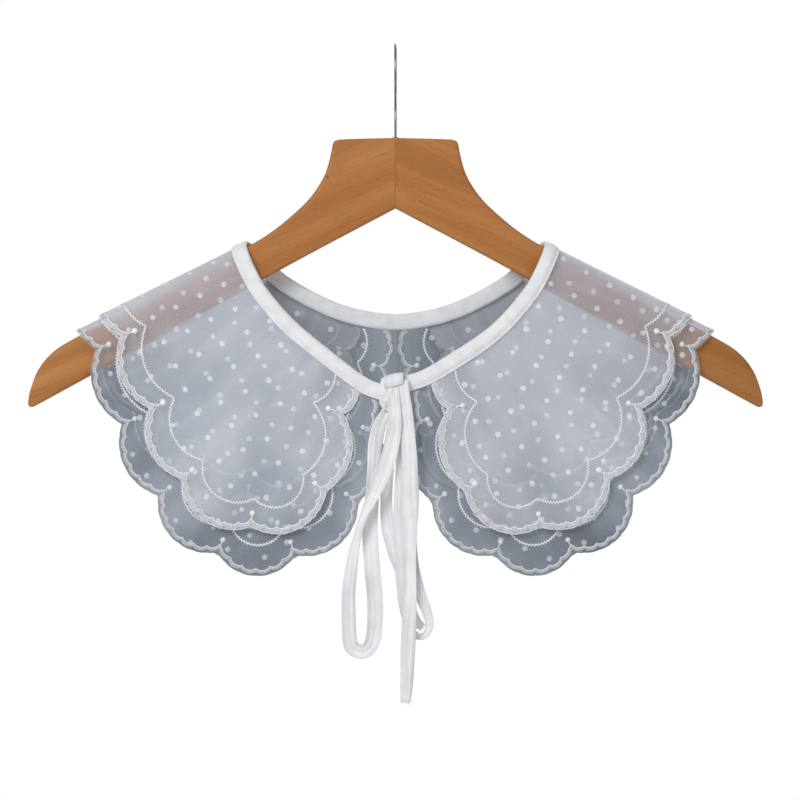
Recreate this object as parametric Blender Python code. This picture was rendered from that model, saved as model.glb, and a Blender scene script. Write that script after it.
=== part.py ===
"""A two-tier organza false collar, tied at the front, on a wooden hanger.

Metres, +Z up. The front faces -Y and the wearer's neck hole opens upwards.
The origin is the inside top of the hook, where a rail or peg holds the hanger.

The cloth is drawn flat first, in two coordinates: "along" runs down the hanger's arm
from a point on the shoulder, and "over" is the cloth's length from the shoulder's ridge,
positive to the front and negative to the back. One function then bends that flat cloth
over the arm, so every panel, the neck binding and their seams share the same surface.
Sizes in the tables are millimetres; "drop" is the height below the top of the wood.
"""

import math
from collections import namedtuple

import bmesh
import bpy
from mathutils import Vector
from mathutils.geometry import delaunay_2d_cdt

MM = 0.001
FRONT = 1
BACK = -1
RIGHT = 1
LEFT = -1

# The hanger.
HOOK_RISE = 56.0
HOOK_INNER_RADIUS = 16.0
HOOK_WIRE_RADIUS = 1.0
HOOK_HOLE_CLEARANCE = 0.3
HOOK_HOLE_DEPTH = 14.0
HOOK_NECK = ((0.0, 0.0), (0.0, 12.0), (1.2, 17.0), (4.0, 21.5))
HOOK_BEND_START = math.radians(-62.0)
HOOK_BEND_END = math.radians(215.0)
HOOK_BEND_STEPS = 22
JOINT_HALF_GAP = 0.15
ARM_THICKNESS = 13.0
ARM_EDGE_ROUND = 5.0
TIP_EDGE_ROUND = 1.4
TIP_REACH = 24.0
ARM_ROUND_STEPS = 3

# How the cloth lies over the arm.
RIDGE_X = 100.0
RIDGE_DROP = 69.7
RIDGE_SLOPE = math.radians(26.8)
RIDGE_RADIUS = 10.0
FRONT_LEAN = math.radians(5.0)
BACK_LEAN = math.radians(4.5)

# The cloth.
WALL = 1.0
SEAM_GAP = 0.3
EDGE_MARGIN = 4.8
SCALLOP_ROUNDNESS = 0.75
UPPER_LIFT = 3.0
UPPER_LIFT_REACH = 85.0
BINDING_WIDTH = 9.3
BINDING_THICKNESS = 2.9
BINDING_CROWN = 0.3
TAPE_THICKNESS = 1.0
LAYER_PITCH_AT_KNOT = 1.7
LAYER_PITCH_HANGING = 2.15
NECK_CENTRE_ALONG = -135.0
NECK_CENTRE_OVER = 25.0
NECK_RADIUS = 134.0

# How finely the solids are cut.
SCALLOP_CHORD = 46.0
SCALLOP_STEPS = 11
SEAM_STEP = 3.8
GRID = 12.0
RIDGE_GRID_ALONG = 9.0
RIDGE_GRID_OVER = 4.0
RIDGE_GRID_ROWS = 4

Point = namedtuple("Point", "x drop")
Cusp = namedtuple("Cusp", "x drop bulge")
Fold = namedtuple("Fold", "side face around width rise")
Ring = namedtuple("Ring", "drop x half_width depth half_depth")
Station = namedtuple("Station", "x drop layer width twist")

# Upper edge of the right arm, from the middle of the head plate out to the tip.
HEAD_CORNER = (
    Point(JOINT_HALF_GAP, 0.0),
    Point(34.5, 2.0),
    Point(37.2, 3.6),
)
ARM_TOP = (
    Point(38.2, 7.4),
    Point(40.3, 16.1),
    Point(43.8, 25.0),
    Point(53.0, 38.0),
    Point(70.7, 53.7),
    Point(88.7, 65.3),
    Point(120.0, 81.9),
    Point(160.0, 103.0),
    Point(191.0, 119.4),
    Point(205.0, 128.2),
    Point(214.0, 139.0),
    Point(218.6, 151.0),
    Point(220.0, 158.6),
)
ARM_UNDERSIDE = (
    Point(217.8, 161.2),
    Point(200.0, 151.6),
    Point(140.0, 118.6),
    Point(68.4, 78.4),
    Point(JOINT_HALF_GAP, 42.0),
)

# Seam where the tiers meet the neck binding, from centre front over the shoulder to centre back.
FRONT_SEAM = (
    Point(7.2, 155.0),
    Point(20.0, 150.5),
    Point(36.8, 139.7),
    Point(63.0, 120.0),
    Point(80.7, 101.0),
    Point(91.0, 85.0),
)
SHOULDER_SEAM_ALONG = -3.5
BACK_SEAM = (
    Point(77.0, 85.0),
    Point(66.5, 93.0),
    Point(51.3, 101.6),
    Point(35.0, 108.6),
    Point(19.0, 112.7),
    Point(0.0, 114.8),
)

# Scallops: each row is where two scallops meet in the sewn edge, with the swell of the one after it.
LOWER_START = Cusp(12.8, 155.0, -1.5)
LOWER_FRONT = (
    Cusp(14.6, 171.9, 8.0),
    Cusp(25.0, 215.5, 10.5),
    Cusp(60.7, 245.8, 11.5),
    Cusp(104.4, 244.2, 11.0),
    Cusp(137.7, 211.9, 9.0),
    Cusp(159.7, 169.9, 8.0),
    Cusp(175.6, 125.5, 6.0),
)
LOWER_BACK = (
    Cusp(172.0, 126.0, 7.0),
    Cusp(153.0, 163.0, 8.5),
    Cusp(127.2, 193.0, 10.0),
    Cusp(89.6, 213.7, 11.0),
    Cusp(47.2, 209.0, 10.0),
    Cusp(17.5, 179.0, 5.0),
    Cusp(8.5, 137.0, 1.0),
)
LOWER_END = Cusp(6.2, 114.8, 0.0)

UPPER_START = Cusp(24.8, 148.0, 1.5)
UPPER_FRONT = (
    Cusp(35.6, 162.5, 9.0),
    Cusp(43.6, 209.7, 11.0),
    Cusp(85.3, 229.4, 11.0),
    Cusp(124.2, 202.1, 9.0),
    Cusp(142.7, 161.0, 8.0),
    Cusp(160.2, 117.9, 7.0),
)
UPPER_BACK = (
    Cusp(156.4, 116.4, 7.0),
    Cusp(138.5, 148.7, 9.0),
    Cusp(111.0, 180.9, 10.0),
    Cusp(70.4, 193.4, 10.0),
    Cusp(35.8, 169.0, 8.0),
    Cusp(29.9, 127.2, 1.5),
)
UPPER_END = Cusp(22.5, 112.0, 0.0)

# Soft folds that run out from the neck: their angle about the neck, half width and height at the hem.
FOLDS = (
    Fold(LEFT, FRONT, 49.0, 5.0, 1.6),
    Fold(LEFT, FRONT, 36.0, 7.0, -2.2),
    Fold(LEFT, FRONT, 24.0, 5.0, 2.4),
    Fold(LEFT, FRONT, 11.0, 6.0, -1.4),
    Fold(LEFT, BACK, -26.0, 6.0, 2.2),
    Fold(LEFT, BACK, -40.0, 7.0, -1.8),
    Fold(LEFT, BACK, -54.0, 5.0, 1.5),
    Fold(RIGHT, FRONT, 46.0, 6.0, 2.0),
    Fold(RIGHT, FRONT, 32.0, 6.0, -1.6),
    Fold(RIGHT, FRONT, 20.0, 7.0, 2.6),
    Fold(RIGHT, FRONT, 8.0, 5.0, -1.8),
    Fold(RIGHT, BACK, -24.0, 7.0, 1.8),
    Fold(RIGHT, BACK, -37.0, 5.0, -2.0),
    Fold(RIGHT, BACK, -52.0, 7.0, 2.1),
)
FOLD_REACH = 110.0
FOLD_START_OVER = 26.0
FOLD_FULL_OVER = 75.0

# The bow. Layers count forwards from the cloth; a twist of 90 turns the tape edge on.
KNOT = (
    Ring(141.8, 0.8, 4.6, 21.6, 2.6),
    Ring(143.6, 0.6, 6.0, 21.8, 4.2),
    Ring(149.0, 0.3, 6.5, 22.0, 5.2),
    Ring(155.0, -0.2, 6.4, 22.0, 5.4),
    Ring(160.0, 0.4, 5.6, 21.9, 5.0),
    Ring(163.0, 0.8, 5.0, 21.8, 4.2),
)
KNOT_SIDES = 14
TIES_START_DROP = 163.3
LEFT_LOOP = (
    Station(1.0, 163.3, 5.0, 5.6, 0),
    Station(1.2, 172.0, 5.3, 8.4, -6),
    Station(-2.0, 184.0, 5.3, 9.0, -4),
    Station(-5.6, 196.0, 5.2, 9.0, 6),
    Station(-12.5, 212.0, 5.1, 7.6, 14),
    Station(-18.6, 225.0, 4.8, 5.6, 34),
    Station(-22.6, 238.0, 4.4, 5.6, 26),
    Station(-25.6, 254.0, 4.0, 7.0, 10),
    Station(-27.6, 270.0, 3.4, 8.0, 0),
    Station(-27.6, 286.0, 2.8, 8.2, 0),
    Station(-25.0, 299.5, 2.2, 8.0, -22),
    Station(-19.8, 305.6, 2.2, 7.4, -48),
    Station(-14.6, 300.0, 3.2, 7.8, -30),
    Station(-12.2, 288.0, 3.9, 9.0, -4),
    Station(-12.0, 276.0, 3.9, 9.2, 0),
    Station(-13.2, 262.0, 3.4, 9.2, 0),
    Station(-14.6, 246.0, 2.8, 9.2, 0),
    Station(-15.0, 231.0, 2.4, 9.0, 4),
    Station(-14.0, 216.0, 2.0, 8.4, 10),
    Station(-12.4, 198.0, 2.0, 7.6, 20),
    Station(-11.4, 182.0, 2.0, 6.8, 26),
    Station(-8.6, 171.0, 2.0, 6.0, 16),
    Station(-2.0, 163.3, 2.0, 4.2, 0),
)
RIGHT_LOOP = (
    Station(1.6, 163.3, 3.0, 5.6, 0),
    Station(4.2, 178.0, 3.1, 7.0, 0),
    Station(4.0, 196.0, 3.1, 7.6, 0),
    Station(3.2, 214.0, 3.1, 8.0, 0),
    Station(3.0, 232.0, 3.1, 8.4, 0),
    Station(3.4, 250.0, 3.1, 8.0, 0),
    Station(4.4, 266.0, 3.0, 7.8, 0),
    Station(6.0, 280.0, 2.6, 7.6, -10),
    Station(9.4, 291.0, 2.4, 6.8, -44),
    Station(14.6, 296.6, 2.0, 6.2, -62),
    Station(19.8, 293.6, 1.9, 6.4, -44),
    Station(21.6, 285.0, 1.9, 7.2, -16),
    Station(20.4, 276.0, 1.9, 7.6, 0),
    Station(17.0, 266.0, 1.9, 7.8, 0),
    Station(12.8, 254.0, 1.8, 7.6, 0),
    Station(9.8, 242.0, 1.6, 7.2, 0),
    Station(8.6, 224.0, 1.6, 7.0, 0),
    Station(8.2, 204.0, 1.6, 6.8, 0),
    Station(7.2, 184.0, 1.6, 6.2, 0),
    Station(2.0, 163.3, 1.0, 4.8, 0),
)
LONG_TAIL = (
    Station(1.6, 163.3, 4.0, 5.2, 0),
    Station(8.2, 178.0, 4.2, 6.6, 6),
    Station(10.2, 196.0, 4.2, 6.6, 10),
    Station(10.6, 216.0, 4.2, 6.8, 8),
    Station(9.4, 234.0, 4.2, 6.6, 8),
    Station(8.8, 252.0, 4.2, 6.4, 10),
    Station(8.6, 270.0, 4.3, 7.4, 6),
    Station(8.2, 286.0, 4.3, 8.6, 0),
    Station(7.8, 304.0, 4.3, 8.4, 0),
    Station(7.6, 322.0, 4.3, 7.8, 4),
    Station(6.8, 337.5, 4.4, 6.0, 10),
)
SHORT_TAIL = (
    Station(0.2, 163.3, 0.0, 4.6, 0),
    Station(-3.0, 180.0, 0.2, 6.4, 0),
    Station(-4.4, 198.0, 0.2, 6.8, 0),
    Station(-5.4, 216.0, 0.2, 7.0, 0),
    Station(-4.4, 232.0, 0.2, 7.8, 0),
    Station(-1.0, 246.0, 0.2, 7.8, 0),
    Station(4.6, 260.0, 0.2, 7.2, 0),
    Station(11.0, 276.0, 0.2, 7.0, 0),
    Station(16.6, 288.0, 0.2, 6.6, 0),
    Station(18.0, 292.4, 0.2, 5.2, 0),
)
TAPE_STEP = 5.0
TIE_DEPTH_AT_KNOT = 17.6
TIE_DEPTH_CLEAR = 22.9
TIE_CLEAR_DROP = 177.0
TIE_SLOPE = 0.088
TIE_SLOPE_END_DROP = 262.0


def clear_scene():
    for obj in list(bpy.data.objects):
        bpy.data.objects.remove(obj)


def linear(channel):
    if channel <= 0.04045:
        return channel / 12.92
    return ((channel + 0.055) / 1.055) ** 2.4


def make_material(name, red, green, blue, roughness, metallic=0.0):
    material = bpy.data.materials.new(name)
    material.use_nodes = True
    colour = (linear(red / 255), linear(green / 255), linear(blue / 255), 1.0)
    shader = material.node_tree.nodes["Principled BSDF"]
    shader.inputs["Base Color"].default_value = colour
    shader.inputs["Roughness"].default_value = roughness
    shader.inputs["Metallic"].default_value = metallic
    material.diffuse_color = colour
    return material


def add_object(name, vertices, faces, material):
    """One closed solid from vertices in millimetres, its faces turned outwards."""
    mesh = bpy.data.meshes.new(name)
    mesh.from_pydata([Vector(vertex) * MM for vertex in vertices], [], faces)
    work = bmesh.new()
    work.from_mesh(mesh)
    bmesh.ops.recalc_face_normals(work, faces=work.faces)
    work.to_mesh(mesh)
    work.free()
    mesh.materials.append(material)
    mesh.shade_smooth()
    mesh.set_sharp_from_angle(angle=math.radians(40))
    obj = bpy.data.objects.new(name, mesh)
    bpy.context.scene.collection.objects.link(obj)
    return obj


def ease(value, start, end):
    """0 before start, 1 after end, and a smooth step between."""
    t = min(max((value - start) / (end - start), 0.0), 1.0)
    return t * t * (3 - 2 * t)


def between(before, start, end, after, t):
    """A Catmull-Rom curve's point between start and end."""
    return 0.5 * (
        2 * start
        + (end - before) * t
        + (2 * before - 5 * start + 4 * end - after) * t * t
        + (3 * start - before - 3 * end + after) * t * t * t
    )


def smooth_line(points, step, past_end=None):
    """A smooth curve through the points, cut about every step."""
    last = past_end or points[-1] * 2 - points[-2]
    padded = [points[0] * 2 - points[1], *points, last]
    curve = []
    for before, start, end, after in zip(padded, padded[1:], padded[2:], padded[3:]):
        count = max(1, round((end - start).length / step))
        curve += [between(before, start, end, after, index / count) for index in range(count)]
    curve.append(points[-1].copy())
    return curve


def space(side, x, drop, depth):
    """A point given by its place in the front view and its distance in front of the wood's middle."""
    return Vector((side * x, -depth, -HOOK_RISE - drop))


def bend_of(face):
    lean = FRONT_LEAN if face == FRONT else BACK_LEAN
    return math.pi / 2 - lean


def drape(side, along, over, out):
    """The flat cloth bent over the arm, and moved out from it along its own normal."""
    face = FRONT if over >= 0 else BACK
    full_bend = bend_of(face)
    bend = min(abs(over) / RIDGE_RADIUS, full_bend)
    rest = abs(over) - bend * RIDGE_RADIUS
    depth = RIDGE_RADIUS * math.sin(bend) + rest * math.cos(bend) + out * math.sin(bend)
    sink = RIDGE_RADIUS * (1 - math.cos(bend)) + rest * math.sin(bend) - out * math.cos(bend)
    x = RIDGE_X + along * math.cos(RIDGE_SLOPE) - sink * math.sin(RIDGE_SLOPE)
    drop = RIDGE_DROP + along * math.sin(RIDGE_SLOPE) + sink * math.cos(RIDGE_SLOPE)
    return space(side, x, drop, face * depth)


def flatten(point, face):
    """Where a point of the front view lies on the flat cloth: drape() turned round."""
    across = point.x - RIDGE_X
    down = point.drop - RIDGE_DROP
    along = across * math.cos(RIDGE_SLOPE) + down * math.sin(RIDGE_SLOPE)
    sink = down * math.cos(RIDGE_SLOPE) - across * math.sin(RIDGE_SLOPE)
    full_bend = bend_of(face)
    bend_sink = RIDGE_RADIUS * (1 - math.cos(full_bend))
    if sink < bend_sink:
        over = RIDGE_RADIUS * math.acos(1 - max(sink, 0.0) / RIDGE_RADIUS)
    else:
        over = RIDGE_RADIUS * full_bend + (sink - bend_sink) / math.sin(full_bend)
    return Vector((along, face * over))


def from_neck(along, over):
    """Distance out from the neck seam, and the angle about the neck, on the flat cloth."""
    offset = Vector((along - NECK_CENTRE_ALONG, over - NECK_CENTRE_OVER))
    return offset.length - NECK_RADIUS, math.degrees(math.atan2(offset.y, offset.x))


def fold_height(side, along, over):
    """Height of the soft folds here: nothing at the neck and on the arm, all of it at the hem."""
    reach, around = from_neck(along, over)
    face = FRONT if over >= 0 else BACK
    grown = ease(reach, 0.0, FOLD_REACH) * ease(abs(over), FOLD_START_OVER, FOLD_FULL_OVER)
    height = 0.0
    for fold in FOLDS:
        if fold.side == side and fold.face == face:
            height += fold.rise * math.exp(-(((around - fold.around) / fold.width) ** 2))
    return height * grown


def neck_seam():
    """The seam on the flat cloth, from centre front to centre back."""
    front = [flatten(point, FRONT) for point in FRONT_SEAM]
    back = [flatten(point, BACK) for point in BACK_SEAM]
    shoulder = Vector((SHOULDER_SEAM_ALONG, 0.0))
    past_centre = flatten(Point(-BACK_SEAM[-2].x, BACK_SEAM[-2].drop), BACK)
    return smooth_line([*front, shoulder, *back], SEAM_STEP, past_centre)


def side_normals(line):
    """Unit normals to the left of a flat line, one for each of its points."""
    normals = []
    for index in range(len(line)):
        ahead = line[min(index + 1, len(line) - 1)]
        behind = line[max(index - 1, 0)]
        run = (ahead - behind).normalized()
        normals.append(Vector((-run.y, run.x)))
    return normals


def scalloped_edge(start, front, back, end):
    """The cut edge of a tier: round scallops a margin outside the sewn line, with soft dips between."""
    cusps = [(flatten(row, FRONT), row.bulge) for row in (start, *front)]
    cusps += [(flatten(row, BACK), row.bulge) for row in (*back, end)]
    edge = []
    for (here, bulge), (there, _) in zip(cusps, cusps[1:]):
        run = there - here
        outward = Vector((-run.y, run.x)).normalized()
        steps = max(3, round(SCALLOP_STEPS * run.length / SCALLOP_CHORD))
        for index in range(steps):
            t = (index + 0.5) / steps
            swell = EDGE_MARGIN + bulge * math.sin(math.pi * t) ** SCALLOP_ROUNDNESS
            edge.append(here + run * t + outward * swell)
    return edge


def panel_outline(start, front, back, end):
    """The whole flat outline: the scalloped edge, then the neck seam back to centre front.

    It stops one step short of the centre back, where the two halves stay apart.
    """
    seam = neck_seam()
    moved = [point + normal * SEAM_GAP for point, normal in zip(seam, side_normals(seam))][:-1]
    edge = scalloped_edge(start, front, back, end)
    begin = min(range(len(moved)), key=lambda index: (moved[index] - edge[0]).length)
    finish = min(range(len(moved)), key=lambda index: (moved[index] - edge[-1]).length)
    return edge + moved[begin : finish + 1][::-1]


def inside(point, outline):
    hit = False
    for one, two in zip(outline, outline[1:] + outline[:1]):
        if (one.y > point.y) != (two.y > point.y):
            crossing = one.x + (point.y - one.y) * (two.x - one.x) / (two.y - one.y)
            if point.x < crossing:
                hit = not hit
    return hit


def grid_points(outline):
    """Points inside the panel: close rows where the cloth bends over the arm, a wide net elsewhere.

    Both tiers take them from the same net, so that they lie flat on each other.
    """
    farthest = max(point.length for point in outline)
    band = RIDGE_GRID_OVER * (RIDGE_GRID_ROWS + 1)
    found = []
    columns = int(farthest / RIDGE_GRID_ALONG) + 1
    for row in range(-RIDGE_GRID_ROWS, RIDGE_GRID_ROWS + 1):
        for column in range(-columns, columns + 1):
            found.append(Vector((column * RIDGE_GRID_ALONG, row * RIDGE_GRID_OVER)))
    row_height = GRID * math.sqrt(3) / 2
    columns = int(farthest / row_height) + 1
    for row in range(-columns, columns + 1):
        for column in range(-columns, columns + 1):
            point = Vector(((column + 0.5 * (row % 2)) * GRID, row * row_height))
            if abs(point.y) > band:
                found.append(point)
    kept = []
    for point in found:
        close = RIDGE_GRID_OVER / 2 if abs(point.y) < band else GRID / 2
        if inside(point, outline) and all((point - other).length > close for other in outline):
            kept.append(point)
    return kept


def build_panel(name, side, outline, base_out, material):
    """A tier's wall: the flat outline filled, then draped twice, a wall's thickness apart."""
    flat = outline + grid_points(outline)
    points, _, triangles, *_ = delaunay_2d_cdt(flat, [], [list(range(len(outline)))], 1, 1e-6)
    vertices = []
    for layer in (0.0, WALL):
        for point in points:
            out = base_out(point) + layer + fold_height(side, point.x, point.y)
            vertices.append(drape(side, point.x, point.y, out))
    count = len(points)
    uses = {}
    for triangle in triangles:
        for one, two in zip(triangle, triangle[1:] + triangle[:1]):
            uses.setdefault(frozenset((one, two)), []).append((one, two))
    faces = [tuple(triangle) for triangle in triangles]
    faces += [tuple(count + corner for corner in reversed(triangle)) for triangle in triangles]
    for ends in uses.values():
        if len(ends) == 1:
            one, two = ends[0]
            faces.append((two, one, one + count, two + count))
    return add_object(name, vertices, faces, material)


def lower_out(_point):
    return 0.0


def upper_out(point):
    """The upper tier rests on the lower one at the neck, and stands a little off it at its own hem."""
    reach, _ = from_neck(point.x, point.y)
    return WALL + SEAM_GAP + UPPER_LIFT * ease(reach, 0.0, UPPER_LIFT_REACH)


def loft(name, rings, material):
    """A closed solid through rings of equally many points, capped at both ends."""
    sides = len(rings[0])
    vertices = [point for ring in rings for point in ring]
    faces = [tuple(range(sides)), tuple(range(len(vertices) - sides, len(vertices)))[::-1]]
    for start in range(0, len(vertices) - sides, sides):
        for index in range(sides):
            after = (index + 1) % sides
            faces.append((start + after, start + index, start + sides + index, start + sides + after))
    return add_object(name, vertices, faces, material)


def build_binding(material):
    """The folded tape round the neck: its outer edge is the seam, its inner edge a width inside it."""
    seam = neck_seam()
    normals = side_normals(seam)
    for index, point, face in ((0, FRONT_SEAM[0], FRONT), (-1, BACK_SEAM[-1], BACK)):
        above = Point(point.x, point.drop - 1.0)
        normals[index] = (flatten(point, face) - flatten(above, face)).normalized()
    half_thick = BINDING_THICKNESS / 2
    profile = (
        (0.0, 0.0),
        (0.0, BINDING_THICKNESS),
        (-BINDING_WIDTH / 2, BINDING_THICKNESS + BINDING_CROWN),
        (-BINDING_WIDTH, BINDING_THICKNESS),
        (-BINDING_WIDTH - BINDING_CROWN, half_thick),
        (-BINDING_WIDTH, 0.0),
    )
    rings = []
    for side, order in ((LEFT, range(len(seam))), (RIGHT, range(len(seam) - 2, -1, -1))):
        for index in order:
            ring = []
            for across, out in profile:
                point = seam[index] + normals[index] * across
                ring.append(drape(side, point.x, point.y, out))
            rings.append(ring)
    return loft("neck_binding", rings, material)


def tie_depth(drop, layer):
    """How far forward a layer of the bow hangs: out of the knot, then clear of the cloth behind it."""
    out = ease(drop, TIES_START_DROP, TIE_CLEAR_DROP)
    depth = TIE_DEPTH_AT_KNOT + (TIE_DEPTH_CLEAR - TIE_DEPTH_AT_KNOT) * out
    depth += TIE_SLOPE * (min(max(drop, TIE_CLEAR_DROP), TIE_SLOPE_END_DROP) - TIE_CLEAR_DROP)
    pitch = LAYER_PITCH_AT_KNOT + (LAYER_PITCH_HANGING - LAYER_PITCH_AT_KNOT) * out
    return depth + layer * pitch


def tape_path(stations):
    """Places, widths and twists along a tape, cut about every step of its length."""
    rows = []
    for row in stations:
        place = space(RIGHT, row.x, row.drop, tie_depth(row.drop, row.layer))
        rows.append((place, Vector((row.width, row.twist, 0.0))))
    first = tuple(one * 2 - two for one, two in zip(rows[0], rows[1]))
    last = tuple(one * 2 - two for one, two in zip(rows[-1], rows[-2]))
    padded = [first, *rows, last]
    path = []
    for before, start, end, after in zip(padded, padded[1:], padded[2:], padded[3:]):
        count = max(1, round((end[0] - start[0]).length / TAPE_STEP))
        for index in range(count):
            t = index / count
            path.append([between(*values, t) for values in zip(before, start, end, after)])
    path.append(rows[-1])
    return path


def build_tape(name, stations, material):
    """A flat tape along its stations, as wide as each says and twisted about its own length."""
    path = tape_path(stations)
    rings = []
    for index, (point, shape) in enumerate(path):
        run = (path[min(index + 1, len(path) - 1)][0] - path[max(index - 1, 0)][0]).normalized()
        if abs(point.z + HOOK_RISE + TIES_START_DROP) < 0.01:
            run = Vector((0.0, 0.0, math.copysign(1.0, run.z)))
        flat_way = Vector((0.0, 1.0, 0.0)).cross(run).normalized()
        twist = math.radians(shape.y)
        wide = flat_way * math.cos(twist) + run.cross(flat_way) * math.sin(twist)
        thick = run.cross(wide)
        ring = []
        for along, out in ((-1, -1), (1, -1), (1, 1), (-1, 1)):
            ring.append(point + wide * along * shape.x / 2 + thick * out * TAPE_THICKNESS / 2)
        rings.append(ring)
    return loft(name, rings, material)


def build_knot(material):
    rings = []
    for row in KNOT:
        ring = []
        for index in range(KNOT_SIDES):
            angle = 2 * math.pi * index / KNOT_SIDES
            x = row.x + row.half_width * math.cos(angle)
            ring.append(space(RIGHT, x, row.drop, row.depth + row.half_depth * math.sin(angle)))
        rings.append(ring)
    return loft("tie_knot", rings, material)


def arm_outline():
    """One wooden half in the front view, from the joint along the top to the tip and back underneath."""
    top = [Vector(point) for point in ARM_TOP]
    head = [Vector(point) for point in HEAD_CORNER]
    under = [Vector(point) for point in ARM_UNDERSIDE]
    outline = head
    outline += smooth_line(top, 9.0)
    outline += [(top[-1] + under[0]) / 2 + Vector((0.6, 0.9))]
    outline += smooth_line(under, 30.0)
    return outline


def build_arm(name, side, material):
    """A board of even thickness with rounded edges, flat where it meets its other half."""
    outline = arm_outline()
    tip = Vector(ARM_TOP[-1])
    count = len(outline)
    inward = []
    for index, point in enumerate(outline):
        if index in (0, count - 1):
            inward.append(Vector((0.0, 1.0 if index == 0 else -1.0)))
            continue
        one = (point - outline[index - 1]).normalized()
        two = (outline[(index + 1) % count] - point).normalized()
        normal = Vector((-(one.y + two.y), one.x + two.x)).normalized()
        inward.append(normal / max(normal.dot(Vector((-one.y, one.x))), 0.5))
    levels = [90.0 * step / ARM_ROUND_STEPS for step in range(ARM_ROUND_STEPS + 1)]
    rings = []
    for face, angles in ((FRONT, levels), (BACK, levels[::-1])):
        for degrees in angles:
            ring = []
            for point, normal in zip(outline, inward):
                near = ease((point - tip).length, 2.0, TIP_REACH)
                radius = TIP_EDGE_ROUND + (ARM_EDGE_ROUND - TIP_EDGE_ROUND) * near
                moved = point + normal * radius * (1 - math.sin(math.radians(degrees)))
                depth = ARM_THICKNESS / 2 - radius * (1 - math.cos(math.radians(degrees)))
                ring.append(space(side, moved.x, moved.y, face * depth))
            rings.append(ring)
    arm = loft(name, rings, material)
    hole = arm.modifiers.new("hook hole", "BOOLEAN")
    hole.object = bpy.data.objects["hook_hole_cutter"]
    hole.operation = "DIFFERENCE"
    hole.solver = "EXACT"
    return arm


def build_hole_cutter():
    """The drilled hole for the hook, half of it in each wooden half."""
    radius = HOOK_WIRE_RADIUS + HOOK_HOLE_CLEARANCE
    rings = []
    for drop in (-5.0, HOOK_HOLE_DEPTH + HOOK_HOLE_CLEARANCE):
        ring = []
        for index in range(12):
            angle = 2 * math.pi * (index + 0.5) / 12
            ring.append(space(RIGHT, radius * math.cos(angle), drop, radius * math.sin(angle)))
        rings.append(ring)
    cutter = loft("hook_hole_cutter", rings, make_material("cutter", 128, 128, 128, 0.5))
    cutter.hide_render = True
    cutter.display_type = "WIRE"


def hook_route():
    """The wire's centre line in the side view: up from the wood, out, round over the top and down in front."""
    radius = HOOK_INNER_RADIUS + HOOK_WIRE_RADIUS
    centre = Vector((0.0, 0.0, -HOOK_INNER_RADIUS))
    route = [Vector((0.0, 0.0, -HOOK_RISE - HOOK_HOLE_DEPTH))]
    route += [Vector((0.0, behind, -HOOK_RISE + height)) for behind, height in HOOK_NECK]
    for index in range(HOOK_BEND_STEPS + 1):
        angle = HOOK_BEND_START + (HOOK_BEND_END - HOOK_BEND_START) * index / HOOK_BEND_STEPS
        route.append(centre + radius * Vector((0.0, math.cos(angle), math.sin(angle))))
    return route


def build_hook(material):
    curve = bpy.data.curves.new("hanger_hook", "CURVE")
    curve.dimensions = "3D"
    curve.bevel_depth = HOOK_WIRE_RADIUS * MM
    curve.bevel_resolution = 2
    curve.use_fill_caps = True
    route = hook_route()
    spline = curve.splines.new("POLY")
    spline.points.add(len(route) - 1)
    for target, point in zip(spline.points, route):
        target.co = (*(point * MM), 1.0)
    curve.materials.append(material)
    hook = bpy.data.objects.new("hanger_hook", curve)
    bpy.context.scene.collection.objects.link(hook)
    return hook


def main():
    clear_scene()
    organza = make_material("dotted organza", 187, 194, 205, 0.7)
    tape = make_material("white bias tape", 236, 237, 240, 0.8)
    wood = make_material("varnished wood", 184, 124, 72, 0.4)
    steel = make_material("plated wire", 170, 170, 172, 0.3, 1.0)
    build_hole_cutter()
    lower = panel_outline(LOWER_START, LOWER_FRONT, LOWER_BACK, LOWER_END)
    upper = panel_outline(UPPER_START, UPPER_FRONT, UPPER_BACK, UPPER_END)
    for side, word in ((LEFT, "left"), (RIGHT, "right")):
        build_panel(f"lower_tier_{word}", side, lower, lower_out, organza)
        build_panel(f"upper_tier_{word}", side, upper, upper_out, organza)
        build_arm(f"hanger_arm_{word}", side, wood)
    build_binding(tape)
    build_knot(tape)
    build_tape("tie_loop_left", LEFT_LOOP, tape)
    build_tape("tie_loop_right", RIGHT_LOOP, tape)
    build_tape("tie_tail_long", LONG_TAIL, tape)
    build_tape("tie_tail_short", SHORT_TAIL, tape)
    build_hook(steel)


main()
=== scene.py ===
# %% [markdown]
# # A two-tier organza false collar on its hanger
# The collar is two C-shaped halves, each with a long lower tier and a shorter upper tier. A tape
# binds the neck edge and runs on into a bow. These cells follow a maker's order: the wood and wire
# that hold it up, the sheer cloth, the embroidery on the cloth, then the tape. All of it is built
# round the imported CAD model, which fixes every place and size.

import math
import random
from collections import namedtuple

import bpy
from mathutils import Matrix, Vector, kdtree, noise
from mathutils.geometry import delaunay_2d_cdt


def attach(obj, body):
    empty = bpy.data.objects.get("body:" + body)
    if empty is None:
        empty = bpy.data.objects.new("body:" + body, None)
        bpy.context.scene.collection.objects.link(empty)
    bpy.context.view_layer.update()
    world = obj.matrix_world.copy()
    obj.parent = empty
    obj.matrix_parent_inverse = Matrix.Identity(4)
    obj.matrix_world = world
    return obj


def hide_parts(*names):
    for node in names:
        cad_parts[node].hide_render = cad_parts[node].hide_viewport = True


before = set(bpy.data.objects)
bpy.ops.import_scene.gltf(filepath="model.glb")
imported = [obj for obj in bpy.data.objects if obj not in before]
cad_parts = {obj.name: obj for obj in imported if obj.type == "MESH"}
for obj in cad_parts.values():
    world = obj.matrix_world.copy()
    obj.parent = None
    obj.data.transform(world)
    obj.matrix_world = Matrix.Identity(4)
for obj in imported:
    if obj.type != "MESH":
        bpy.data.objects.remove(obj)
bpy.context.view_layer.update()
print("nodes in the packed model:", ", ".join(sorted(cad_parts)))

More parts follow.
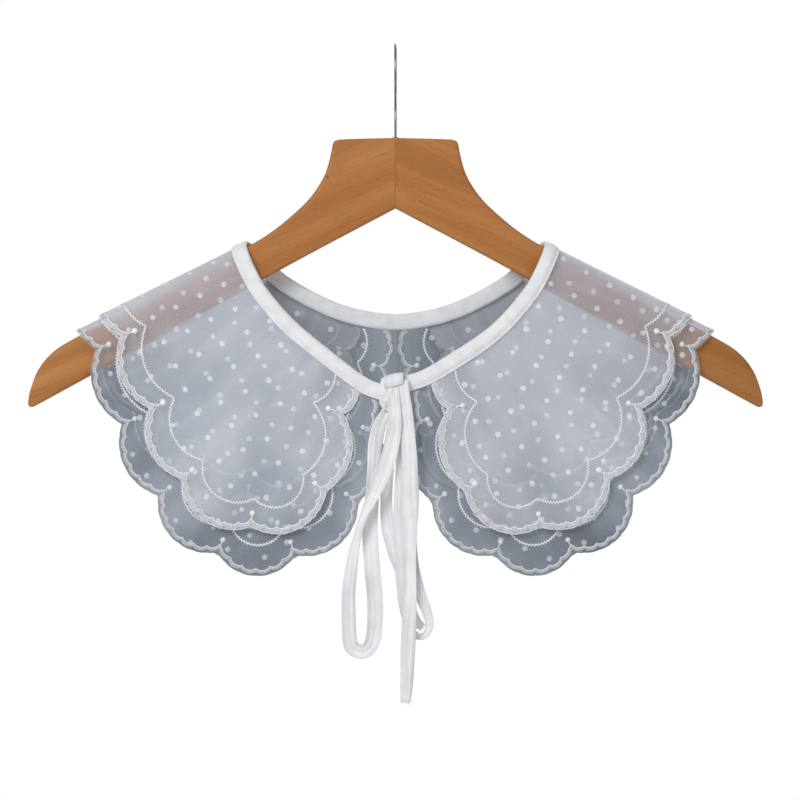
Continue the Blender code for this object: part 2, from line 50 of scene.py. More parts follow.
# %% [markdown]
# ## One surface for all the cloth
# A collar is cut flat and then bent over the shoulder. Each half could be sculpted in place, but
# then the tiers, their embroidery and the tape would each need fitting to the others. Here every
# point is worked out on the flat cloth first, as "along" the shoulder and "over" it, and one
# function bends the flat cloth over the hanger's arm. The bow pulls one side of the neck up and
# lets the other side down by a little. Sizes are millimetres until a mesh is made.

# %% The flat cloth and how it hangs
MM = 0.001
FRONT = 1
BACK = -1
RIGHT = 1
LEFT = -1
SIDES = ((LEFT, "left"), (RIGHT, "right"))
HOOK_RISE = 56.0
RIDGE_X = 100.0
RIDGE_DROP = 69.7
RIDGE_SLOPE = math.radians(26.8)
RIDGE_RADIUS = 10.0
LEAN = {FRONT: math.radians(5.0), BACK: math.radians(4.5)}
NECK_TILT = 2.8
TILT_ACROSS = (8.0, 60.0)
TILT_DOWN = (165.0, 215.0)

Point = namedtuple("Point", "x drop")


def ease(value, start, end):
    """0 before start, 1 after end, and a smooth step between."""
    t = min(max((value - start) / (end - start), 0.0), 1.0)
    return t * t * (3 - 2 * t)


def space(side, x, drop, depth):
    """A point by its place in the front view and its distance in front of the wood's middle."""
    return Vector((side * x, -depth, -HOOK_RISE - drop))


def drape(side, along, over, out):
    """A point of the flat cloth bent over the arm and moved out along the cloth's own normal."""
    face = FRONT if over >= 0 else BACK
    full_bend = math.pi / 2 - LEAN[face]
    bend = min(abs(over) / RIDGE_RADIUS, full_bend)
    rest = abs(over) - bend * RIDGE_RADIUS
    depth = RIDGE_RADIUS * math.sin(bend) + rest * math.cos(bend) + out * math.sin(bend)
    sink = RIDGE_RADIUS * (1 - math.cos(bend)) + rest * math.sin(bend) - out * math.cos(bend)
    x = RIDGE_X + along * math.cos(RIDGE_SLOPE) - sink * math.sin(RIDGE_SLOPE)
    drop = RIDGE_DROP + along * math.sin(RIDGE_SLOPE) + sink * math.cos(RIDGE_SLOPE)
    if face == FRONT:
        near_bow = (1 - ease(x, *TILT_ACROSS)) * (1 - ease(drop, *TILT_DOWN))
        drop -= side * NECK_TILT * near_bow
    return space(side, x, drop, face * depth)


def flatten(point, face):
    """Where a point of the front view lies on the flat cloth: drape() turned round."""
    across = point.x - RIDGE_X
    down = point.drop - RIDGE_DROP
    along = across * math.cos(RIDGE_SLOPE) + down * math.sin(RIDGE_SLOPE)
    sink = down * math.cos(RIDGE_SLOPE) - across * math.sin(RIDGE_SLOPE)
    full_bend = math.pi / 2 - LEAN[face]
    bend_sink = RIDGE_RADIUS * (1 - math.cos(full_bend))
    if sink < bend_sink:
        over = RIDGE_RADIUS * math.acos(1 - max(sink, 0.0) / RIDGE_RADIUS)
    else:
        over = RIDGE_RADIUS * full_bend + (sink - bend_sink) / math.sin(full_bend)
    return Vector((along, face * over))


print("a point 100 mm down the front hangs at", drape(RIGHT, 0.0, 100.0, 0.0) * MM)

# %% [markdown]
# ## Soft folds
# Organza is stiff and springy, so it hangs in a few shallow ribs that fan out from the neck and
# grow towards the hem. The large ones are those of the CAD solid. A few shorter dents lie between
# them, uneven in length and depth, because stitching pulls the cloth differently in each place.

# %% Ribs and dents
NECK_CENTRE = Vector((-135.0, 25.0))
NECK_RADIUS = 134.0
FOLD_REACH = 110.0
FOLD_START_OVER = 26.0
FOLD_FULL_OVER = 75.0

Fold = namedtuple("Fold", "side face around width rise")
Dent = namedtuple("Dent", "side along over heading length width rise")

FOLDS = (
    Fold(LEFT, FRONT, 49.0, 5.0, 1.6),
    Fold(LEFT, FRONT, 36.0, 7.0, -2.2),
    Fold(LEFT, FRONT, 24.0, 5.0, 2.4),
    Fold(LEFT, FRONT, 11.0, 6.0, -1.4),
    Fold(LEFT, BACK, -26.0, 6.0, 2.2),
    Fold(LEFT, BACK, -40.0, 7.0, -1.8),
    Fold(LEFT, BACK, -54.0, 5.0, 1.5),
    Fold(RIGHT, FRONT, 46.0, 6.0, 2.0),
    Fold(RIGHT, FRONT, 32.0, 6.0, -1.6),
    Fold(RIGHT, FRONT, 20.0, 7.0, 2.6),
    Fold(RIGHT, FRONT, 8.0, 5.0, -1.8),
    Fold(RIGHT, BACK, -24.0, 7.0, 1.8),
    Fold(RIGHT, BACK, -37.0, 5.0, -2.0),
    Fold(RIGHT, BACK, -52.0, 7.0, 2.1),
)
DENTS = (
    Dent(LEFT, 40.0, 60.0, 35.0, 26.0, 6.0, 0.6),
    Dent(LEFT, 10.0, 84.0, 60.0, 34.0, 7.0, -0.6),
    Dent(LEFT, 66.0, 46.0, 10.0, 22.0, 5.0, -0.5),
    Dent(LEFT, -6.0, 118.0, 75.0, 24.0, 6.0, 0.5),
    Dent(LEFT, 30.0, -70.0, -40.0, 30.0, 7.0, 0.6),
    Dent(LEFT, 58.0, -40.0, -15.0, 20.0, 5.0, -0.5),
    Dent(RIGHT, 34.0, 76.0, 48.0, 32.0, 6.0, 0.6),
    Dent(RIGHT, 60.0, 58.0, 24.0, 24.0, 5.0, 0.5),
    Dent(RIGHT, 4.0, 64.0, 66.0, 20.0, 5.0, -0.5),
    Dent(RIGHT, 84.0, 30.0, 4.0, 20.0, 6.0, -0.6),
    Dent(RIGHT, 20.0, -86.0, -52.0, 28.0, 6.0, -0.6),
    Dent(RIGHT, 64.0, -52.0, -24.0, 26.0, 6.0, 0.5),
)


def bell(offset, width):
    """1 where there is no offset, and falling away smoothly on both sides of it."""
    return math.exp(-((offset / width) ** 2))


def from_neck(point):
    """Distance out from the neck seam, and the angle about the neck, on the flat cloth."""
    offset = point - NECK_CENTRE
    return offset.length - NECK_RADIUS, math.degrees(math.atan2(offset.y, offset.x))


def fold_height(side, point):
    """How far the ribs and dents lift the cloth at a flat point."""
    reach, around = from_neck(point)
    face = FRONT if point.y >= 0 else BACK
    grown = ease(reach, 0.0, FOLD_REACH) * ease(abs(point.y), FOLD_START_OVER, FOLD_FULL_OVER)
    height = 0.0
    for fold in FOLDS:
        if fold.side == side and fold.face == face:
            height += fold.rise * grown * bell(around - fold.around, fold.width)
    for dent in DENTS:
        if dent.side == side:
            offset = point - Vector((dent.along, dent.over))
            turn = math.radians(dent.heading)
            heading = Vector((math.cos(turn), math.sin(turn)))
            lengthways = offset.dot(heading) / dent.length
            sideways = offset.cross(heading) / dent.width
            height += dent.rise * math.exp(-(lengthways**2) - sideways**2)
    return height


# %% [markdown]
# ## The cut of the tiers
# The scallops are listed by the cusps where two of them meet in the sewn edge, with the swell of
# the scallop that follows. Each scallop is an arc of a circle from cusp to cusp, and its
# embroidery is a row of small arcs along the large one. The cut edge, the satin stitch and the
# chain line are all drawn from those same circles, moved out or in.

# %% Scallop tables and the neck seam
Cusp = namedtuple("Cusp", "x drop bulge")
Tier = namedtuple("Tier", "name start front back end")

FRONT_SEAM = (
    Point(7.2, 155.0),
    Point(20.0, 150.5),
    Point(36.8, 139.7),
    Point(63.0, 120.0),
    Point(80.7, 101.0),
    Point(91.0, 85.0),
)
SHOULDER_SEAM_ALONG = -3.5
BACK_SEAM = (
    Point(77.0, 85.0),
    Point(66.5, 93.0),
    Point(51.3, 101.6),
    Point(35.0, 108.6),
    Point(19.0, 112.7),
    Point(0.0, 114.8),
)
LOWER = Tier(
    "lower_tier",
    Cusp(12.3, 153.9, -1.5),
    (
        Cusp(14.6, 171.9, 8.0),
        Cusp(25.0, 215.5, 10.5),
        Cusp(60.7, 245.8, 11.5),
        Cusp(104.4, 244.2, 11.0),
        Cusp(137.7, 211.9, 9.0),
        Cusp(159.7, 169.9, 8.0),
        Cusp(175.6, 125.5, 6.0),
    ),
    (
        Cusp(172.0, 126.0, 7.0),
        Cusp(153.0, 163.0, 8.5),
        Cusp(127.2, 193.0, 10.0),
        Cusp(89.6, 213.7, 11.0),
        Cusp(47.2, 209.0, 10.0),
        Cusp(17.5, 179.0, 5.0),
        Cusp(8.5, 137.0, 2.2),
    ),
    Cusp(6.2, 114.8, 0.0),
)
UPPER = Tier(
    "upper_tier",
    Cusp(24.8, 148.0, 1.5),
    (
        Cusp(35.6, 162.5, 9.0),
        Cusp(43.6, 209.7, 11.0),
        Cusp(85.3, 229.4, 11.0),
        Cusp(124.2, 202.1, 9.0),
        Cusp(142.7, 161.0, 8.0),
        Cusp(160.2, 117.9, 7.0),
    ),
    (
        Cusp(156.4, 116.4, 7.0),
        Cusp(138.5, 148.7, 9.0),
        Cusp(111.0, 180.9, 10.0),
        Cusp(70.4, 193.4, 10.0),
        Cusp(35.8, 169.0, 8.0),
        Cusp(29.9, 127.2, 1.5),
    ),
    Cusp(22.5, 112.0, 0.0),
)


def between(before, start, end, after, t):
    """A Catmull-Rom curve's point between start and end."""
    return 0.5 * (
        2 * start
        + (end - before) * t
        + (2 * before - 5 * start + 4 * end - after) * t * t
        + (3 * start - before - 3 * end + after) * t * t * t
    )


def smooth_line(points, step, past_end=None):
    """A smooth curve through the points, cut about every step."""
    padded = [points[0] * 2 - points[1], *points, past_end or points[-1] * 2 - points[-2]]
    curve = []
    for before, start, end, after in zip(padded, padded[1:], padded[2:], padded[3:]):
        count = max(1, round((end - start).length / step))
        curve += [between(before, start, end, after, index / count) for index in range(count)]
    return curve + [points[-1].copy()]


def neck_seam(step):
    """The seam on the flat cloth, from centre front over the shoulder to centre back."""
    front = [flatten(point, FRONT) for point in FRONT_SEAM]
    back = [flatten(point, BACK) for point in BACK_SEAM]
    shoulder = Vector((SHOULDER_SEAM_ALONG, 0.0))
    past_centre = flatten(Point(-BACK_SEAM[-2].x, BACK_SEAM[-2].drop), BACK)
    return smooth_line([*front, shoulder, *back], step, past_centre)


print(f"neck seam of one half: {len(neck_seam(1.0))} mm, cut about every millimetre")

# %% Scalloped lines on the flat cloth
CUSP_MARGIN = 4.8
BARE_MARGIN = 2.6
SHALLOWEST_BULGE = 0.4
DEEPEST_BULGE = 0.42
SMALL_ARC = 8.4
SMALL_ARC_POINTS = 6
SMALL_ARC_ROUNDNESS = 0.6
EDGE_WAVE = 0.3
SEAM_TUCK = 1.0
SEAM_CUT = 1.5
HALVES_MEET = (
    Point(5.4, 156.0),
    Point(3.0, 153.0),
    Point(1.2, 149.0),
    Point(0.0, 144.0),
    Point(0.0, 136.0),
    Point(0.0, 130.0),
    Point(0.0, 124.0),
    Point(0.0, 118.0),
)
MEETING_STEP = 2.0
MEETING_TRIM = 13

Sample = namedtuple("Sample", "place outward small")


def run_at(line, index):
    """Which way a line runs at one of its points, read from the points on either side."""
    return line[min(index + 1, len(line) - 1)] - line[max(index - 1, 0)]


def side_normals(line):
    """Unit normals to the left of a flat line, one for each of its points."""
    normals = []
    for index in range(len(line)):
        run = run_at(line, index)
        normals.append(Vector((-run.y, run.x)).normalized())
    return normals


def flat_cusps(tier):
    """The tier's cusps on the flat cloth, each with the swell of the scallop after it."""
    found = [(flatten(row, FRONT), row.bulge) for row in (tier.start, *tier.front)]
    return found + [(flatten(row, BACK), row.bulge) for row in (*tier.back, tier.end)]


def one_scallop(here, there, bulge):
    """Samples along an arc of a circle: its place, the way out, and the small arcs' share of swell."""
    run = there - here
    chord = run.length
    ahead = run / chord
    out = Vector((-ahead.y, ahead.x))
    bulge = min(max(bulge, SHALLOWEST_BULGE), chord * DEEPEST_BULGE)
    radius = (chord * chord / 4 + bulge * bulge) / (2 * bulge)
    centre = here + run / 2 - out * (radius - bulge)
    half_angle = math.asin(chord / 2 / radius)
    arcs = max(2, round(2 * half_angle * radius / SMALL_ARC))
    samples = []
    for index in range(arcs * SMALL_ARC_POINTS):
        share = index / (arcs * SMALL_ARC_POINTS)
        angle = (2 * share - 1) * half_angle
        outward = ahead * math.sin(angle) + out * math.cos(angle)
        small = abs(math.sin(math.pi * arcs * share)) ** SMALL_ARC_ROUNDNESS
        samples.append(Sample(centre + outward * radius, outward, small))
    return samples


def all_scallops(cusps):
    """Samples along every scallop of a sewn line. They lie deeper than the table's swell, because
    the cut edge stands further off the cusps than off the middle of each arc."""
    found = []
    for (here, bulge), (there, _) in zip(cusps, cusps[1:]):
        found += one_scallop(here, there, bulge + CUSP_MARGIN - BARE_MARGIN)
    found.append(Sample(cusps[-1][0], found[-1].outward, 0.0))
    return found


def cut_edge(cusps):
    """The cut edge, a bare margin outside the sewn arcs. Neighbouring arcs stop where they meet."""
    edge = []
    for (here, bulge), (there, _) in zip(cusps, cusps[1:]):
        run = there - here
        for sample in one_scallop(here, there, bulge + CUSP_MARGIN - BARE_MARGIN):
            point = sample.place + sample.outward * (BARE_MARGIN + EDGE_WAVE * sample.small)
            if 0.0 < (point - here).dot(run) < run.length_squared:
                edge.append(point)
    return edge


def nearest(line, place):
    """The index of the line's point that lies nearest to a place."""
    return min(range(len(line)), key=lambda index: (line[index] - place).length)


def tier_outline(tier):
    """The whole cut edge: the scallops, then back to centre front just inside the binding."""
    seam = neck_seam(SEAM_CUT)
    moved = [point - normal * SEAM_TUCK for point, normal in zip(seam, side_normals(seam))]
    cusps = flat_cusps(tier)
    edge = cut_edge(cusps)[1:]
    if tier is LOWER:
        edge = cut_edge(cusps[:-1])[1:-MEETING_TRIM]
        edge += smooth_line([flatten(point, BACK) for point in HALVES_MEET], MEETING_STEP)
    begin = nearest(moved, edge[0])
    finish = nearest(moved, edge[-1])
    return edge + moved[begin : finish + 1][::-1]


def flat_area(outline):
    """The area inside a flat outline, in square millimetres."""
    return abs(sum(one.cross(two) for one, two in zip(outline, outline[1:] + outline[:1]))) / 2


outlines = {tier.name: tier_outline(tier) for tier in (LOWER, UPPER)}
for name, outline in outlines.items():
    print(name, "is cut from", round(flat_area(outline) / 100), "square cm of organza")

# %% [markdown]
# ## Colours and nodes
# Photographs give colours in sRGB, and Blender's shaders work in linear light, so one function
# turns a hex value into linear light. Each material is then a small tree of nodes. One helper
# adds any node with its settings and links, which keeps each tree readable from top to bottom.
# At a scale of 1 the wave texture repeats every 0.314 units, so a real thread spacing in metres
# gives its scale.

# %% Helpers for materials
WAVE_PERIOD = 0.314


def linear(hex_value):
    """An sRGB hex colour such as "F2F3F5" in linear light."""
    channels = [int(hex_value[start : start + 2], 16) / 255 for start in (0, 2, 4)]
    lit = [c / 12.92 if c <= 0.04045 else ((c + 0.055) / 1.055) ** 2.4 for c in channels]
    return (*lit, 1.0)


def set_inputs(tree, node, inputs):
    """Fills a node's sockets, each with a link or a plain value."""
    for name, value in inputs.items():
        if isinstance(value, bpy.types.NodeSocket):
            tree.links.new(value, node.inputs[name])
        else:
            node.inputs[name].default_value = value


def add_node(tree, kind, inputs=None, **settings):
    """Adds a node: settings are its own properties, and inputs are links or plain values."""
    node = tree.nodes.new(kind)
    for name, value in settings.items():
        setattr(node, name, value)
    set_inputs(tree, node, inputs or {})
    return node


def new_material(name):
    """An empty material and its node tree, with only the Principled shader and the output."""
    material = bpy.data.materials.new(name)
    material.use_nodes = True
    return material, material.node_tree, material.node_tree.nodes["Principled BSDF"]


def set_ramp(node, stops):
    """Sets a colour ramp's stops from (position, colour) rows."""
    elements = node.color_ramp.elements
    while len(elements) < len(stops):
        elements.new(1.0)
    for element, (position, colour) in zip(elements, stops):
        element.position = position
        element.color = colour


# %% [markdown]
# ## Varnished wood
# The hanger is a plain light hardwood under a thin satin varnish. Its colour runs in broad soft
# streaks along each arm, with fine fibres and short dark pores. An image could give that, but a
# stretched noise does it at any size: the same noise is drawn long along the grain and narrow
# across it. The grain's place comes from a point attribute, so the two halves meet in a chevron.
# A second attribute, "tone", darkens the right tip a little as painted shade, and one arm has a small
# pin knot.

# %% Wood material
GRAIN_SLOPE = math.radians(24.0)
GRAIN_SHIFT = 0.4
STREAK_SCALE = (5.0, 85.0, 40.0)
FIBRE_SCALE = (30.0, 900.0, 400.0)
PORE_SCALE = (220.0, 1900.0, 900.0)
PIN_KNOT = (LEFT, -0.0409, -0.0065, -0.0793)
PIN_KNOT_CORE = 0.0004
PIN_KNOT_RIM = 0.0013


def grain_place(side, x, y, z):
    """A point's place along and across the grain, in metres. The sides are cut from other wood."""
    lengthways = abs(x) * math.cos(GRAIN_SLOPE) - z * math.sin(GRAIN_SLOPE)
    sideways = abs(x) * math.sin(GRAIN_SLOPE) + z * math.cos(GRAIN_SLOPE)
    return lengthways + side * GRAIN_SHIFT, sideways, y


def make_wood():
    material, tree, shader = new_material("varnished light hardwood")
    grain = add_node(tree, "ShaderNodeAttribute", attribute_name="grain").outputs["Vector"]
    streak_place = add_node(tree, "ShaderNodeMapping", {"Vector": grain, "Scale": STREAK_SCALE})
    streaks = add_node(
        tree,
        "ShaderNodeTexNoise",
        {"Vector": streak_place.outputs[0], "Scale": 1.0, "Detail": 3.0, "Distortion": 0.35},
    )
    fibre_place = add_node(tree, "ShaderNodeMapping", {"Vector": grain, "Scale": FIBRE_SCALE})
    fibres = add_node(
        tree, "ShaderNodeTexNoise", {"Vector": fibre_place.outputs[0], "Scale": 1.0, "Detail": 2.0}
    )
    pore_place = add_node(tree, "ShaderNodeMapping", {"Vector": grain, "Scale": PORE_SCALE})
    pores = add_node(tree, "ShaderNodeTexNoise", {"Vector": pore_place.outputs[0], "Scale": 1.0})
    streak_colour = add_node(tree, "ShaderNodeValToRGB", {"Fac": streaks.outputs["Fac"]})
    set_ramp(
        streak_colour,
        ((0.3, linear("A96B34")), (0.5, linear("B5763C")), (0.72, linear("C28749"))),
    )
    fibre_shade = add_node(
        tree,
        "ShaderNodeMapRange",
        {
            "Value": fibres.outputs["Fac"],
            "From Min": 0.3,
            "From Max": 0.7,
            "To Min": 0.92,
            "To Max": 1.07,
        },
    )
    pore_shade = add_node(
        tree,
        "ShaderNodeMapRange",
        {"Value": pores.outputs["Fac"], "From Min": 0.3, "From Max": 0.38, "To Min": 0.72},
    )
    fine_shade = add_node(
        tree,
        "ShaderNodeMath",
        {0: fibre_shade.outputs[0], 1: pore_shade.outputs[0]},
        operation="MULTIPLY",
    )
    pin_knot = add_node(
        tree, "ShaderNodeVectorMath", {0: grain, 1: grain_place(*PIN_KNOT)}, operation="DISTANCE"
    )
    knot_shade = add_node(
        tree,
        "ShaderNodeMapRange",
        {
            "Value": pin_knot.outputs["Value"],
            "From Min": PIN_KNOT_CORE,
            "From Max": PIN_KNOT_RIM,
            "To Min": 0.45,
        },
    )
    # This attribute carries the painted shade of the right tip.
    tone = add_node(tree, "ShaderNodeAttribute", attribute_name="tone").outputs["Fac"]
    knot_and_painted_shade = add_node(
        tree, "ShaderNodeMath", {0: tone, 1: knot_shade.outputs[0]}, operation="MULTIPLY"
    )
    shade = add_node(
        tree, "ShaderNodeMath", {0: fine_shade.outputs[0], 1: knot_and_painted_shade.outputs[0]}, operation="MULTIPLY"
    )
    colour = add_node(
        tree,
        "ShaderNodeVectorMath",
        {0: streak_colour.outputs[0], "Scale": shade.outputs[0]},
        operation="SCALE",
    )
    bump = add_node(
        tree, "ShaderNodeBump", {"Height": fibres.outputs["Fac"], "Strength": 0.12, "Distance": 0.0002}
    )
    looks = {
        "Base Color": colour.outputs[0],
        "Normal": bump.outputs[0],
        "Roughness": 0.5,
        "Specular IOR Level": 0.3,
        "Coat Weight": 0.05,
        "Coat Roughness": 0.35,
    }
    set_inputs(tree, shader, looks)
    return material


wood = make_wood()

# %% [markdown]
# ## Plated wire
# The hook is drawn steel wire with a bright plating. Plating is smooth, so the roughness is low,
# with faint lengthwise drawing marks that only stretch the highlights.

# %% Wire material
def make_wire():
    material, tree, shader = new_material("plated steel wire")
    coords = add_node(tree, "ShaderNodeTexCoord")
    marks = add_node(
        tree, "ShaderNodeTexNoise", {"Vector": coords.outputs["Object"], "Scale": 900.0, "Detail": 2.0}
    )
    roughness = add_node(
        tree, "ShaderNodeMapRange", {"Value": marks.outputs["Fac"], "To Min": 0.2, "To Max": 0.4}
    )
    looks = {
        "Roughness": roughness.outputs[0],
        "Base Color": linear("8F8F8C"),
        "Metallic": 1.0,
    }
    set_inputs(tree, shader, looks)
    return material


wire = make_wire()

# %% [markdown]
# ## Sheer organza
# Organza is an open plain weave of fine hard yarn. What the eye sees is part cloth and part what
# is behind it, so opacity matters more than colour. Two point attributes drive it: "cover" is how
# much the cloth hides, and "tint" runs from the cool grey of one layer in the shade to the pale
# bloom of doubled cloth in the light. The real threads lie 0.2 mm apart, too fine to show in this
# picture, so the weave is drawn at 1.3 mm and kept faint.

# %% Organza material
WEAVE_MM = 1.3
FAN_SCALE = (9.0, 70.0, 1.0)


def make_organza():
    material, tree, shader = new_material("plain weave organza")
    cover = add_node(tree, "ShaderNodeAttribute", attribute_name="cover").outputs["Fac"]
    tint = add_node(tree, "ShaderNodeAttribute", attribute_name="tint").outputs["Fac"]
    flat = add_node(tree, "ShaderNodeUVMap", uv_map="cloth").outputs[0]
    scale = WAVE_PERIOD / (WEAVE_MM * MM)
    warp = add_node(
        tree, "ShaderNodeTexWave", {"Vector": flat, "Scale": scale, "Distortion": 0.6, "Detail": 1.0}
    )
    weft = add_node(
        tree,
        "ShaderNodeTexWave",
        {"Vector": flat, "Scale": scale, "Distortion": 0.6, "Detail": 1.0},
        bands_direction="Y",
    )
    weave = add_node(
        tree, "ShaderNodeMath", {0: warp.outputs["Fac"], 1: weft.outputs["Fac"]}, operation="ADD"
    )
    density = add_node(
        tree,
        "ShaderNodeMapRange",
        {"Value": weave.outputs[0], "From Max": 2.0, "To Min": 0.96, "To Max": 1.04},
    )
    bloom = add_node(
        tree, "ShaderNodeTexNoise", {"Vector": flat, "Scale": 22.0, "Detail": 2.0, "Roughness": 0.5}
    )
    fan = add_node(tree, "ShaderNodeUVMap", uv_map="fan").outputs[0]
    fan_place = add_node(tree, "ShaderNodeMapping", {"Vector": fan, "Scale": FAN_SCALE})
    streaks = add_node(
        tree,
        "ShaderNodeTexNoise",
        {"Vector": fan_place.outputs[0], "Scale": 1.0, "Detail": 2.0, "Distortion": 0.6},
    )
    clouds = add_node(
        tree, "ShaderNodeMath", {0: bloom.outputs["Fac"], 1: streaks.outputs["Fac"]}, operation="ADD"
    )
    bloom_shift = add_node(
        tree,
        "ShaderNodeMapRange",
        {
            "Value": clouds.outputs[0],
            "From Min": 0.7,
            "From Max": 1.3,
            "To Min": -0.12,
            "To Max": 0.12,
        },
    )
    specks = add_node(tree, "ShaderNodeTexNoise", {"Vector": flat, "Scale": 1300.0})
    speck_shift = add_node(
        tree,
        "ShaderNodeMapRange",
        {
            "Value": specks.outputs["Fac"],
            "From Min": 0.3,
            "From Max": 0.7,
            "To Min": -0.04,
            "To Max": 0.04,
        },
    )
    both_shifts = add_node(
        tree, "ShaderNodeMath", {0: bloom_shift.outputs[0], 1: speck_shift.outputs[0]}, operation="ADD"
    )
    shifted = add_node(
        tree, "ShaderNodeMath", {0: tint, 1: both_shifts.outputs[0]}, operation="ADD"
    )
    colour = add_node(tree, "ShaderNodeValToRGB", {"Fac": shifted.outputs[0]})
    set_ramp(
        colour,
        (
            (0.0, linear("5F6671")),
            (0.15, linear("7E8794")),
            (0.5, linear("C2C8D2")),
            (0.85, linear("EBEEF6")),
        ),
    )
    alpha = add_node(
        tree, "ShaderNodeMath", {0: cover, 1: density.outputs[0]}, operation="MULTIPLY", use_clamp=True
    )
    bump = add_node(
        tree, "ShaderNodeBump", {"Height": weave.outputs[0], "Strength": 0.15, "Distance": 0.0001}
    )
    looks = {
        "Base Color": colour.outputs[0],
        "Alpha": alpha.outputs[0],
        "Normal": bump.outputs[0],
        "Roughness": 0.6,
        "Specular IOR Level": 0.25,
        "Sheen Weight": 0.15,
        "Sheen Roughness": 0.4,
    }
    set_inputs(tree, shader, looks)
    return material


organza = make_organza()

# %% [markdown]
# ## Thread and tape
# The embroidery is white rayon thread: packed side by side in satin stitch it has a soft lustre,
# so its roughness is moderate and its bump is fine ribs. The tape is matt cotton sateen cut on
# the bias, and its fine diagonal twill is drawn at 1.2 mm so that it just shows. Its
# "tone" attribute darkens folded edges and creases as painted shade, with a
# little random tone.

# %% Thread and tape materials
def make_thread(name, hex_value, alpha=1.0, darkest=0.84):
    """White thread in one of its shades. Alpha is under 1 where the cloth shows between stitches."""
    material, tree, shader = new_material(name)
    coords = add_node(tree, "ShaderNodeTexCoord")
    lumps = add_node(
        tree, "ShaderNodeTexNoise", {"Vector": coords.outputs["Object"], "Scale": 1100.0, "Detail": 2.0}
    )
    shade = add_node(
        tree,
        "ShaderNodeMapRange",
        {
            "Value": lumps.outputs["Fac"],
            "From Min": 0.3,
            "From Max": 0.7,
            "To Min": darkest,
            "To Max": 1.08,
        },
    )
    colour = add_node(
        tree,
        "ShaderNodeVectorMath",
        {0: linear(hex_value)[:3], "Scale": shade.outputs[0]},
        operation="SCALE",
    )
    bump = add_node(
        tree, "ShaderNodeBump", {"Height": lumps.outputs["Fac"], "Strength": 0.5, "Distance": 0.0003}
    )
    looks = {
        "Base Color": colour.outputs[0],
        "Normal": bump.outputs[0],
        "Roughness": 0.45,
        "Sheen Weight": 0.2,
        "Alpha": alpha,
    }
    set_inputs(tree, shader, looks)
    return material


TWILL_MM = 1.2
TWILL_SLOPE = math.radians(40.0)


def make_tape():
    material, tree, shader = new_material("cotton sateen bias tape")
    coords = add_node(tree, "ShaderNodeTexCoord")
    turned = add_node(
        tree,
        "ShaderNodeMapping",
        {"Vector": coords.outputs["Object"], "Rotation": (0.0, TWILL_SLOPE, 0.0)},
    )
    twill = add_node(
        tree,
        "ShaderNodeTexWave",
        {"Vector": turned.outputs[0], "Scale": WAVE_PERIOD / (TWILL_MM * MM), "Distortion": 1.5},
    )
    mottle = add_node(
        tree, "ShaderNodeTexNoise", {"Vector": coords.outputs["Object"], "Scale": 140.0, "Detail": 3.0}
    )
    cloth = add_node(tree, "ShaderNodeValToRGB", {"Fac": mottle.outputs["Fac"]})
    set_ramp(cloth, ((0.3, linear("F0F2F6")), (0.7, linear("FAFBFD"))))
    # This attribute carries painted shade and a little random tone.
    tone = add_node(tree, "ShaderNodeAttribute", attribute_name="tone").outputs["Fac"]
    colour = add_node(
        tree, "ShaderNodeVectorMath", {0: cloth.outputs[0], "Scale": tone}, operation="SCALE"
    )
    bump = add_node(
        tree, "ShaderNodeBump", {"Height": twill.outputs["Fac"], "Strength": 0.1, "Distance": 0.0001}
    )
    looks = {
        "Base Color": colour.outputs[0],
        "Normal": bump.outputs[0],
        "Roughness": 0.75,
        "Sheen Weight": 0.25,
    }
    set_inputs(tree, shader, looks)
    return material


satin_thread = make_thread("white rayon thread", "FAFAFB")
dim_thread = make_thread("white rayon thread in shade", "E6E8EB")
edge_satin = make_thread("white rayon satin stitch", "EBEDF1", 0.66, 0.72)
dim_satin = make_thread("white rayon satin stitch in shade", "DCDFE4", 0.72, 0.7)
woven_dot = make_thread("woven dot", "F1F3F7", 0.42)
dim_dot = make_thread("woven dot in shade", "EDF0F4", 0.5)
tape_cloth = make_tape()
print("materials:", ", ".join(material.name for material in bpy.data.materials))

# %% [markdown]
# ## Making pieces
# Every piece is a mesh from points in millimetres that rides on the one body. Round or flat
# strips all come from one loft: equal rings of points joined one to the next.

# %% Helpers for pieces
def make_piece(name, vertices, faces, material, slot, replaces=()):
    """A smooth mesh from points in millimetres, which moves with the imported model."""
    mesh = bpy.data.meshes.new(name)
    mesh.from_pydata([vertex * MM for vertex in vertices], [], faces)
    mesh.materials.append(material)
    mesh.shade_smooth()
    piece = bpy.data.objects.new(name, mesh)
    bpy.context.scene.collection.objects.link(piece)
    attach(piece, "root")
    if replaces:
        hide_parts(*replaces)
    return piece


def set_values(piece, name, values):
    """Stores one number at each of the piece's points, for its material to read."""
    piece.data.attributes.new(name, "FLOAT", "POINT").data.foreach_set("value", values)


def add_flat_map(piece, name, places):
    """Gives the piece a UV map in metres, from one flat place for each of its points."""
    layer = piece.data.uv_layers.new(name=name)
    for loop, target in zip(piece.data.loops, layer.data):
        target.uv = places[loop.vertex_index]


def add_loft(vertices, faces, rings):
    """Adds a closed strip through rings of equally many points, capped at both ends."""
    sides = len(rings[0])
    first = len(vertices)
    for ring in rings:
        vertices += ring
    last = len(vertices) - sides
    faces.append(tuple(range(first, first + sides)))
    faces.append(tuple(range(last, last + sides))[::-1])
    for start in range(first, last, sides):
        for index in range(sides):
            after = (index + 1) % sides
            faces.append((start + after, start + index, start + sides + index, start + sides + after))


def loft_piece(name, rings, *finish):
    """A piece that is a single loft."""
    vertices, faces = [], []
    add_loft(vertices, faces, rings)
    return make_piece(name, vertices, faces, *finish)


# %% [markdown]
# ## The wooden arms
# Each half is a flat board sawn to a curve, with its edges rounded over. It could be a box with a
# bevel, but the rounding must shrink towards the thin tip, so it is lofted from its front outline
# to its back one, each step pulled in a little more. The outline is the CAD's, cut finer.

